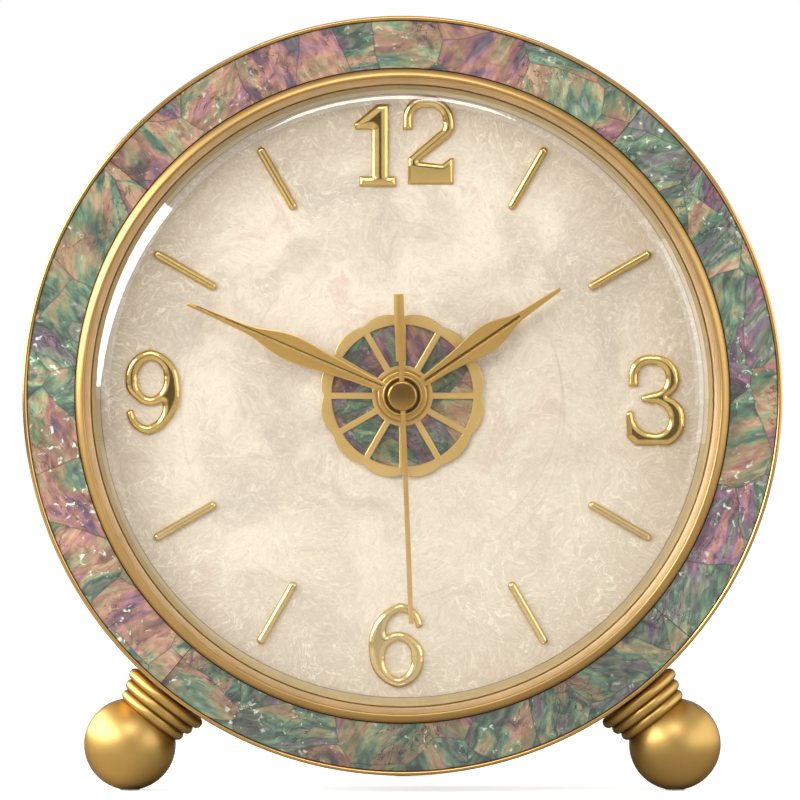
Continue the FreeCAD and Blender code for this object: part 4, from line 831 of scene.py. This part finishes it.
def lens_face(inset):
    """One face of the glass, from its middle to its rim, inset from the outer face."""
    radius, flat = LENS_RADIUS - inset, LENS_RADIUS - SHOULDER_ROUND
    cut = (SHOULDER_ROUND - inset) * QUARTER
    return path([(0.0, APEX + inset), ((flat / 2, MIDWAY + inset), (flat, SHOULDER + inset)),
                 ((radius - cut, SHOULDER + inset + cut), (radius, SHOULDER + SHOULDER_ROUND)),
                 (radius, LENS_DEPTH)], count=24)


dome = lens_face(0.0) + lens_face(LENS_THICK)[::-1]
lens = lathe("domed_glass", dome, glass, closed=False, node="glass_lens", slot="clear_glass")
print(lens.name, len(lens.data.polygons), "faces")

# %% [markdown]
# ## The rosette
# A pierced brass plate lies over the shell in the middle of the dial. It has twelve lobes and twelve
# windows with sharp corners. Punched edges are a little rounded, which shows as a light line along
# each window, so the relief drops over the last tenth of a millimetre.

# %% Rosette
LOBES, LOBE_RADIUS, NOTCH_RADIUS = 12, 16.6, 15.85
WINDOW_INNER, WINDOW_OUTER, SPOKE_HALF = 6.1, 14.25, 0.63
BUSHING_HOLE = 3.85


def polar(radius, degrees):
    """A point at a radius and an angle, counted clockwise from twelve."""
    return radius * math.sin(math.radians(degrees)), radius * math.cos(math.radians(degrees))


def window(middle):
    """The outline of one window between two spokes."""
    reach = 180 / LOBES
    inner_half = reach - math.degrees(math.asin(SPOKE_HALF / WINDOW_INNER))
    outer_half = reach - math.degrees(math.asin(SPOKE_HALF / WINDOW_OUTER))
    return path([polar(WINDOW_INNER, middle - inner_half), polar(WINDOW_OUTER, middle - outer_half),
                 (polar(WINDOW_OUTER, middle), polar(WINDOW_OUTER, middle + outer_half)),
                 polar(WINDOW_INNER, middle + inner_half),
                 (polar(WINDOW_INNER, middle), polar(WINDOW_INNER, middle - inner_half))], count=8)[:-1]


print("a window has", len(window(180 / LOBES)), "points")

# %% Pierced plate
fret_front, fret_rear = depth_of("rosette_fret")
plate_thick = fret_rear - fret_front
PUNCH_ROUND, PUNCH_DROP = 0.12, 0.1
pitch = 360 / LOBES
lobes = path([polar(NOTCH_RADIUS, 0)] + [
    (polar(LOBE_RADIUS, pitch * (k + 0.5)), polar(NOTCH_RADIUS, pitch * (k + 1))) for k in range(LOBES)],
    count=10)[:-1]
hole = path([polar(BUSHING_HOLE, 0), (polar(BUSHING_HOLE, 90), polar(BUSHING_HOLE, 180)),
             (polar(BUSHING_HOLE, 270), polar(BUSHING_HOLE, 360))], count=24)[:-1]
windows = [window(pitch * (k + 0.5)) for k in range(LOBES)]


def punched(points, distance):
    """The plate's rise: flat, with an edge that the punch rounds."""
    return plate_thick - PUNCH_DROP * np.clip(1 - distance / PUNCH_ROUND, 0, 1)


# painted light: the plate's gold is painted lighter than the hands'
fret = relief("pierced_rosette", [lobes, hole] + windows, 0.3, fret_rear, punched, painted_light_fret_gold,
              node="rosette_fret", slot="satin_gold_hands", sharp=25)
print(fret.name, len(fret.data.polygons), "faces")

# %% [markdown]
# ## Numerals
# The numerals are cast metal with full-round strokes, plated and polished. Their outlines are lists of
# corners and arcs in shares of the numeral height, a pair of points being an arc's middle and end. The
# same six, turned upside down, is the nine.

# %% Numeral outlines
ONE = [(-0.555, 0.203), (-0.293, 0.421), (-0.169, 0.421), (-0.169, -0.378), (-0.087, -0.378),
       (-0.087, -0.496), (-0.495, -0.496), (-0.495, -0.378), (-0.358, -0.378), (-0.358, 0.137),
       (-0.537, 0.137)]
TWO = [(-0.011, 0.137), (-0.009, 0.276), ((0.057, 0.44), (0.253, 0.502)),
       ((0.473, 0.427), (0.561, 0.238)), ((0.55, 0.128), (0.484, 0.04)), (0.173, -0.217),
       (0.421, -0.246), (0.517, -0.177), (0.552, -0.177), (0.552, -0.475), (0.042, -0.475),
       (0.042, -0.181), (0.382, 0.11), ((0.432, 0.168), (0.431, 0.243)),
       ((0.382, 0.347), (0.253, 0.378)), ((0.133, 0.344), (0.095, 0.243)), (0.095, 0.137)]
THREE = [(-0.296, 0.149), (-0.294, 0.304), ((-0.214, 0.456), (-0.025, 0.505)),
         ((0.189, 0.425), (0.271, 0.249)), ((0.244, 0.122), (0.147, 0.041)),
         ((0.277, -0.045), (0.328, -0.209)), ((0.282, -0.399), (0.147, -0.503)),
         (-0.213, -0.503), (-0.317, -0.414), (-0.326, -0.16), ((-0.282, -0.112), (-0.238, -0.14)),
         ((-0.181, -0.299), (-0.048, -0.358)), ((0.107, -0.32), (0.149, -0.204)),
         ((0.094, -0.086), (-0.036, -0.043)), (-0.129, -0.023), ((-0.156, 0.019), (-0.129, 0.062)),
         (-0.021, 0.09), ((0.09, 0.156), (0.114, 0.255)), ((0.07, 0.357), (-0.039, 0.39)),
         ((-0.147, 0.355), (-0.187, 0.266)), (-0.187, 0.149)]
SIX = [(0.292, 0.221), (0.261, 0.188), (0.214, 0.194), ((0.15, 0.325), (0.057, 0.364)),
       ((-0.051, 0.303), (-0.108, 0.113)), ((0.06, 0.15), (0.194, 0.075)),
       ((0.283, -0.022), (0.304, -0.137)), ((0.234, -0.365), (0.018, -0.476)),
       ((-0.208, -0.347), (-0.303, -0.099)), ((-0.21, 0.298), (0.038, 0.473)),
       ((0.194, 0.409), (0.292, 0.221))]
SIX_HOLE = [(0.024, 0.049), ((0.13, -0.013), (0.161, -0.135)), ((0.113, -0.298), (0.02, -0.354)),
            ((-0.088, -0.287), (-0.123, -0.148)), ((-0.075, -0.007), (0.024, 0.049))]
NUMERAL_HEIGHT, MARKER = 18.1, 1.1


def glyph(outline, x, height, turn=1):
    """A numeral's outline on the dial, in millimetres. A turn of -1 puts it upside down."""
    loop = path(outline, count=10)
    if math.dist(loop[0], loop[-1]) < 1e-6:
        loop.pop()
    return [(x + turn * NUMERAL_HEIGHT * a, height + turn * NUMERAL_HEIGHT * b) for a, b in loop]


print("outlines:", len(ONE), len(TWO), len(THREE), len(SIX), "steps")

# %% [markdown]
# A round stroke mirrors what is before the clock as a thin dark line along its top, and the side
# panels as a white line on each flank. So the rise must be a true half round over the stroke's whole
# width: it starts at the edge and reaches the top at half the width. The foot of the two is a flat,
# and it leans a little so that it shows gold and not the dark line.

# %% Numerals
EDGE, NUMERAL_STEP = 0.3, 0.15
TWELVE_PLACE, ONE_HALF, TWO_HALF = (0.3, 51.0), 1.75, 1.15      # half widths of the strokes
FOOT_TOP, FOOT_FALL, FOOT_HIGH = 46.2, 0.11, 3.6      # the two's foot: its top edge, slope and height


def rounded_stroke(half_width):
    """A rise that starts at the edge and rounds up to the top at half_width from it."""
    def rise(points, distance):
        near = 1 - np.clip(distance / half_width, 0, 1)
        return EDGE + (MARKER - EDGE) * np.sqrt(np.clip(1 - near**2, 0, 1))
    return rise


def two_rise(points, distance):
    """The two: a round stroke, and a foot that leans down."""
    lean = FOOT_FALL * np.clip(FOOT_TOP - points[:, 1], 0, FOOT_HIGH)
    return rounded_stroke(TWO_HALF)(points, distance) - lean


twelve = bmesh.new()
for outline, rise in ((ONE, rounded_stroke(ONE_HALF)), (TWO, two_rise)):
    add_relief(twelve, [glyph(outline, *TWELVE_PLACE)], NUMERAL_STEP, DIAL_DEPTH, rise)
finish_piece("cast_twelve", twelve, polished_gold, FRONT, "numeral_twelve", "polished_gold", 38)
for name, outlines, x, height, turn, half_width in (
        ("three", (THREE,), 50.8, -0.9, 1, 1.2), ("six", (SIX, SIX_HOLE), -1.2, -50.1, 1, 1.25),
        ("nine", (SIX, SIX_HOLE), -50.2, 0.7, -1, 1.25)):
    loops = [glyph(outline, x, height, turn) for outline in outlines]
    piece = relief(f"cast_{name}", loops, NUMERAL_STEP, DIAL_DEPTH, rounded_stroke(half_width),
                   polished_gold, node=f"numeral_{name}", slot="polished_gold")
    print(piece.name, len(piece.data.polygons), "faces")

# %% [markdown]
# ## Batons
# The other eight hours are short round bars. One outline is turned about the middle of the dial, once
# for each hour, and all eight go into one mesh, because they are one node in the frame.

# %% Batons
HALF, INNER, OUTER, BATON_STEP = 0.875, 43.2, 57.6, 0.17
bar = path([(-HALF, INNER + HALF), (-HALF, OUTER - HALF), ((0, OUTER), (HALF, OUTER - HALF)),
            (HALF, INNER + HALF), ((0, INNER), (-HALF, INNER + HALF))], count=10)[:-1]
batons = bmesh.new()
for hour in (1, 2, 4, 5, 7, 8, 10, 11):
    add_relief(batons, [bar], BATON_STEP, DIAL_DEPTH, rounded_stroke(HALF), 30 * hour)
batons = finish_piece("cast_batons", batons, polished_gold, FRONT, "hour_batons", "polished_gold", 38)
print("eight batons,", len(batons.data.polygons), "faces")

# %% [markdown]
# ## The blades of the hands
# Leaf hands are pressed from thin brass. The outline needs one smooth swell, so a few half widths are
# joined by a curve that passes through each of them.

# %% Leaf outline
HOUR_LEAF = [(0.12, 1.0), (0.25, 1.3), (0.38, 1.95), (0.48, 2.6), (0.56, 2.7), (0.64, 2.0), (0.7, 1.2),
             (0.76, 0.82), (0.86, 0.62), (1.0, 0.4)]
MINUTE_LEAF = [(0.08, 0.95), (0.2, 1.25), (0.34, 1.85), (0.46, 2.5), (0.54, 2.6), (0.61, 2.0), (0.67, 1.25),
               (0.73, 0.85), (0.85, 0.6), (1.0, 0.36)]
HOUR_LENGTH, MINUTE_LENGTH = 38.3, 46.8


def leaf(length, widths):
    """The outline of a leaf hand that points to twelve, through (share of the length, half width)."""
    shares, halves = zip(*widths)
    right = []
    for i in range(len(widths) - 1):
        picks = (max(i - 1, 0), i, i + 1, min(i + 2, len(widths) - 1))
        for t in (j / 8 for j in range(8)):
            weights = ((-t + 2 * t**2 - t**3) / 2, (2 - 5 * t**2 + 3 * t**3) / 2,
                       (t + 4 * t**2 - 3 * t**3) / 2, (t**3 - t**2) / 2)
            right.append((sum(w * halves[k] for w, k in zip(weights, picks)),
                          length * sum(w * shares[k] for w, k in zip(weights, picks))))
    right.append((halves[-1], length))
    return right + [(-x, y) for x, y in reversed(right)]


print("hour hand outline:", len(leaf(HOUR_LENGTH, HOUR_LEAF)), "points")

# %% [markdown]
# ## Groove and rib
# The hour hand has a groove pressed down its middle that stops before the tip, and the minute hand a
# raised rib. Each half of a blade slopes a little, so one side is always brighter than the other, and
# the edge drops over the last sixth of a millimetre to catch a line of light.

# %% Sections of the hands
EDGE_ROUND, HOUR_THICK, WING_THICK = 0.16, 0.33, 0.16
GROOVE_START, GROOVE_END, GROOVE_HALF, GROOVE_DEEP = 5.4, 28.9, 0.34, 0.27
RIB_HALF, RIB_HIGH = 0.3, 0.19


def slope_and_edge(points, distance, half_width, slope, drop):
    """What a blade loses to its sloping halves and to the round of its edge."""
    fall = slope * np.clip(np.abs(points[:, 0]) / half_width, 0, 1)
    return fall + drop * np.clip(1 - distance / EDGE_ROUND, 0, 1)


def grooved(points, distance):
    """The hour hand's section: two slopes that fall to a groove."""
    across, along = np.abs(points[:, 0]), points[:, 1]
    groove = np.clip(1 - across / GROOVE_HALF, 0, 1) * np.clip((GROOVE_END - along) / 1.2, 0, 1)
    groove *= np.clip((along - GROOVE_START) / 0.6, 0, 1)
    return HOUR_THICK - GROOVE_DEEP * groove - slope_and_edge(points, distance, 2.75, 0.02, 0.1)


def ribbed(points, distance):
    """The minute hand's section: thin wings with a round rib along the middle."""
    rib = np.sqrt(np.clip(1 - (np.abs(points[:, 0]) / RIB_HALF) ** 2, 0, 1))
    return WING_THICK + RIB_HIGH * rib - slope_and_edge(points, distance, 2.65, 0.04, 0.06)


def tint_strip(hand, material, turn, first, last, start, end):
    """Paints a strip of a hand, from first to last mm across it and start to end mm along it."""
    cos, sin = math.cos(math.radians(turn)), math.sin(math.radians(turn))
    paint_faces(hand, material, lambda x, height, depth:
                first < x * cos - height * sin < last and start < x * sin + height * cos < end)


print("groove", GROOVE_DEEP, "mm deep, rib", RIB_HIGH, "mm high")

# %% [markdown]
# ## Hour and minute hand
# Each blade is joined to a turned hub. The minute hand's hub has a recess round the seconds arbor, which lies
# in shade and looks nearly black on the real clock, so its faces get painted shade: the darkened brass.

# %% Hour hand
HOUR_TURN, MINUTE_TURN = 55.9, 293.2      # degrees from twelve, as the photograph shows them
HOUR_BORE, HOUR_FACE, HOUR_HUB, HUB_STEPS = 2.5, 4.6, 5.0, 72
hour_front, hour_rear = depth_of("hour_hand")
hour = add_relief(bmesh.new(), [leaf(HOUR_LENGTH, HOUR_LEAF)], 0.16, hour_rear, grooved, HOUR_TURN)
hour_hub = path([(HOUR_BORE, hour_rear), (HOUR_BORE, hour_front), (HOUR_FACE, hour_front),
                 ((4.88, hour_front + 0.08), (HOUR_HUB, hour_rear - 0.1)), (HOUR_HUB, hour_rear)], count=6)
spin_profile(hour, hour_hub, at(0, 0, 0), ACROSS, AXIS, HUB_STEPS)
hour = finish_piece("pressed_hour_hand", hour, hand_gold, "hour_hand_group", "hour_hand",
                    "satin_gold_hands", 25)
# painted shade down the groove of the hour hand
tint_strip(hour, painted_shade_gold, HOUR_TURN, -0.3, 0.3, GROOVE_START, 28.5)

# %% Minute hand
RECESS_BORE, RECESS_RADIUS, RECESS_DEEP, MINUTE_HUB = 1.7, 3.5, 0.3, 4.0
FLANK, RIB_START, RIB_END = 0.16, 4.4, 45.0      # the rib is bright up to FLANK across, then in shade
minute_front, minute_rear = depth_of("minute_hand")
minute = add_relief(bmesh.new(), [leaf(MINUTE_LENGTH, MINUTE_LEAF)], 0.14, minute_rear, ribbed, MINUTE_TURN)
recess = minute_front + RECESS_DEEP
minute_hub = path([(RECESS_BORE, minute_rear), (RECESS_BORE, recess), (RECESS_RADIUS, recess),
                   (3.55, minute_front + 0.08), ((3.66, minute_front), (3.78, minute_front)),
                   ((3.94, minute_front + 0.06), (MINUTE_HUB, minute_front + 0.22)),
                   (MINUTE_HUB, minute_rear)], count=6)
spin_profile(minute, minute_hub, at(0, 0, 0), ACROSS, AXIS, HUB_STEPS)
minute = finish_piece("pressed_minute_hand", minute, hand_gold, "minute_hand_group", "minute_hand",
                      "satin_gold_hands", 25)
# painted shade in the recess round the seconds arbor
paint_faces(minute, painted_shade_brass, lambda x, height, depth:
            RECESS_BORE < math.hypot(x, height) < RECESS_RADIUS and depth < recess + LAP)
# painted shade on the flank of the rib beyond FLANK
tint_strip(minute, painted_shade_gold, MINUTE_TURN, FLANK, 0.42, RIB_START, RIB_END)
# partly a painted highlight, partly a smoother polish: the lit side of the rib gets the lighter polished gold
tint_strip(minute, polished_gold, MINUTE_TURN, -0.2, FLANK, RIB_START, RIB_END)

# %% [markdown]
# ## The seconds cap
# A little turned cap covers the arbor. Its edge has a wide round, which is what shows as a bright ring.

# %% Cap
CAP_RADIUS, CAP_ROUND = 3.0, 0.5
cap_front, cap_rear = depth_of("second_cap")
cap = path([(0, cap_rear), (CAP_RADIUS, cap_rear), (CAP_RADIUS, cap_front + CAP_ROUND),
            ((CAP_RADIUS - 0.15, cap_front + 0.15), (CAP_RADIUS - CAP_ROUND, cap_front)),
            (0.0, cap_front)], count=8)
cap = lathe("turned_cap", cap, cap_gold, "seconds_hand_group", steps=96, closed=False, node="second_cap",
            slot="polished_gold")
print(cap.name, len(cap.data.polygons), "faces")

# %% [markdown]
# ## The feet
# Each foot is one turning: a ball and three beads that grow towards the case, with shallow grooves
# between them. The two front feet lean outwards along the case's radius, and the rear one leans
# forward to meet its leg. One profile serves all three, spun about three different lines.

# %% Foot profile
BALL, REACH, STUD, FOOT_STEPS = 9.27, 13.1, 4.0, 96
NECK, BEADS, BEAD_LENGTH, GROOVE = 6.66, (7.56, 8.27, 9.07), 2.1, 0.62


def foot_profile():
    """Half of a foot as (radius, distance from the ball's centre towards the case)."""
    base = math.sqrt(BALL**2 - NECK**2)
    points = path([(0.0, -BALL), ((BALL, 0.0), (NECK, base))], count=48)
    for bead in BEADS:
        points.append((bead - GROOVE, base))
        points += arc(points[-1], (bead, base + BEAD_LENGTH / 2), (bead - GROOVE, base + BEAD_LENGTH), 14)
        base += BEAD_LENGTH
    return points + [(STUD, base), (STUD, REACH), (0.0, REACH)]


print("foot profile:", len(foot_profile()), "points")

# %% Ball feet
SPLAY, TILT, FRONT_FOOT_DEPTH = math.radians(38.05), math.radians(38.0), 10.5
foot_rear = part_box("ball_feet")[1].y
lines = []
for lean in (-1, 1):
    up = Vector((-lean * math.sin(SPLAY), 0, math.cos(SPLAY)))
    lines.append((at(0, 0, FRONT_FOOT_DEPTH) - up * (CASE_RADIUS + REACH) * MM, up))
rear_ball = Vector((DIAL_X, foot_rear - BALL * MM, BALL * MM))
lines.append((rear_ball, Vector((0, -math.cos(TILT), math.sin(TILT)))))
feet = bmesh.new()
for ball, up in lines:
    side = up.cross(Vector((0.3, 1, 0.2))).normalized()      # any direction square to the line
    spin_profile(feet, foot_profile(), ball, side, up, FOOT_STEPS, closed=False)
feet = finish_piece("turned_feet", feet, foot_brass, FRONT, "ball_feet", "satin_brass")
print(feet.name, len(feet.data.polygons), "faces")

# %% [markdown]
# ## Camera
# The photographer stood level with the dial and used a long lens, so there is almost no perspective.
# A camera 1.3 m away does the same. The small shift only centres the clock as in the photograph.

# %% Camera
CAMERA_AWAY, LENS_MM = 1300, 292.6
scene = bpy.context.scene
scene.view_settings.view_transform = "Standard"
camera = bpy.data.objects.new("camera", bpy.data.cameras.new("camera"))
bpy.context.collection.objects.link(camera)
camera.location = at(0, 0, -CAMERA_AWAY)
camera.rotation_euler = (math.radians(90), 0, 0)
camera.data.lens = LENS_MM
camera.data.shift_x, camera.data.shift_y = -0.003, -0.0052
camera.data.clip_start, camera.data.clip_end = 0.05, 50
scene.camera = camera
print("camera", [round(v, 3) for v in camera.location])

# %% [markdown]
# ## Floor and backdrop
# A product photograph has a white sweep behind and below. The floor is pale card that keeps a soft
# shadow, with a lift that only the camera sees. The world is white for camera, gloss and glass, and a
# dimmer cool white as a light, so that the white never burns out the dial.

# %% White sweep
def stage_piece(name, bm, material):
    """Turns a bmesh into a piece of the stage."""
    mesh = bpy.data.meshes.new(name)
    bm.to_mesh(mesh)
    bm.free()
    mesh.materials.append(material)
    sheet = bpy.data.objects.new(name, mesh)
    bpy.context.collection.objects.link(sheet)
    return sheet


def flat_sheet(name, centre, towards, width, height, material):
    """A flat sheet of the stage, with its place in its mesh."""
    bm = bmesh.new()
    bmesh.ops.create_grid(bm, x_segments=1, y_segments=1, size=0.5)
    bmesh.ops.scale(bm, verts=bm.verts, vec=(width, height, 1))
    turn = (Vector(towards) - Vector(centre)).to_track_quat("Z", "Y").to_matrix()
    bmesh.ops.rotate(bm, verts=bm.verts, cent=(0, 0, 0), matrix=turn)
    bmesh.ops.translate(bm, verts=bm.verts, vec=centre)
    return stage_piece(name, bm, material)


white_floor, tree = new_material("white_floor")
matt = add(tree, "ShaderNodeBsdfDiffuse", {"Color": hue("#BDB9B2")})
seen = add(tree, "ShaderNodeLightPath", out="Is Camera Ray")
lift = add(tree, "ShaderNodeMath", {0: seen, 1: 0.75}, operation="MULTIPLY")
glow = add(tree, "ShaderNodeEmission", {"Color": (1, 1, 1, 1), "Strength": lift})
surfaced(white_floor, "ShaderNodeAddShader", {0: matt, 1: glow})
flat_sheet("floor", (0, 0, 0), (0, 0, 1), 14.0, 14.0, white_floor)
print("floor ready")

# %% White world
world = bpy.data.worlds.new("studio")
scene.world = world
world.use_nodes = True
tree = world.node_tree
tree.nodes.clear()
rays = add(tree, "ShaderNodeLightPath").node.outputs
direct = rays["Is Camera Ray"]
for other in ("Is Glossy Ray", "Is Transmission Ray"):
    direct = add(tree, "ShaderNodeMath", {0: direct, 1: rays[other]}, operation="MAXIMUM")
dim = add(tree, "ShaderNodeBackground", {"Color": hue("#FBFAFF"), "Strength": 0.73})
white = add(tree, "ShaderNodeBackground", {"Color": (1, 1, 1, 1), "Strength": 1.0})
both = add(tree, "ShaderNodeMixShader", {0: direct, 1: dim, 2: white})
add(tree, "ShaderNodeOutputWorld", {"Surface": both})
print("white world ready")

# %% [markdown]
# ## The dark card
# Polished metal needs something dark to show its shape. Photographers stand in dark clothes behind
# the lens for that, and here a grey-brown card does it. The camera looks through it.

# %% Card
card = surfaced(new_material("grey_brown_card")[0], "ShaderNodeBsdfDiffuse", {"Color": hue("#7C7164")})
card_sheet = flat_sheet("card_behind_lens", (0, -2.5, 0.1), (0, 0, 0.1), 0.8, 0.8, card)
card_sheet.visible_camera = False
print("card at", [round(v, 2) for v in card_sheet.bound_box[0]])

# %% [markdown]
# ## Lights
# Two soft boxes stand left and right, level with the case, and leave the curved white strips on the
# glass. They reach behind the clock, because the steep edge of the glass mirrors what is there. The
# left strip is broad at its top and ends in a point, so the left box is a glowing cloth whose front
# edge slants. A third, warmer lamp above the lens fills the dial.

# %% Soft boxes
def panel(name, centre, towards, width, height, watts, colour="#FFFFFF"):
    """A flat studio light of that width and height, facing a point."""
    light = bpy.data.lights.new(name, "AREA")
    light.shape, light.size, light.size_y = "RECTANGLE", width, height
    light.energy, light.color = watts, hue(colour)[:3]
    lamp = bpy.data.objects.new(name, light)
    bpy.context.collection.objects.link(lamp)
    lamp.location = centre
    lamp.rotation_mode = "QUATERNION"
    lamp.rotation_quaternion = (Vector(towards) - Vector(centre)).to_track_quat("-Z", "Y")
    lamp.visible_camera = False
    print(name, watts, "W")


panel("right_panel", (0.5, 0.0, 0.18), (0.0, 0.0, 0.18), width=1.5, height=0.4, watts=2.8)
panel("top_panel", (-0.05, -1.3, 1.2), (0.0, 0.0, 0.08), width=0.9, height=0.5, watts=7.6,
      colour="#FFFBF5")

# %% Left soft box
BOX_SIDE, BOX_LOW, BOX_HIGH, BOX_REAR, BOX_GLOW = -0.5, 0.095, 0.485, 0.75, 8.6
TOP_FRONT, LOW_FRONT = -1.3, -0.26      # the cloth's front edge slants between these two
cloth, tree = new_material("soft_box_cloth")
back = add(tree, "ShaderNodeNewGeometry", out="Backfacing")
level = add(tree, "ShaderNodeMath", {0: 1.0, 1: back}, operation="SUBTRACT")
level = add(tree, "ShaderNodeMath", {0: level, 1: BOX_GLOW}, operation="MULTIPLY")
surfaced(cloth, "ShaderNodeEmission", {"Strength": level})
box = bmesh.new()
corners = ((BOX_REAR, BOX_LOW), (BOX_REAR, BOX_HIGH), (TOP_FRONT, BOX_HIGH), (LOW_FRONT, BOX_LOW))
box.faces.new([box.verts.new((BOX_SIDE, y, z)) for y, z in corners])
left_box = stage_piece("left_soft_box", box, cloth)
left_box.visible_camera = False
print("soft box faces", [round(v, 2) for v in left_box.data.polygons[0].normal])
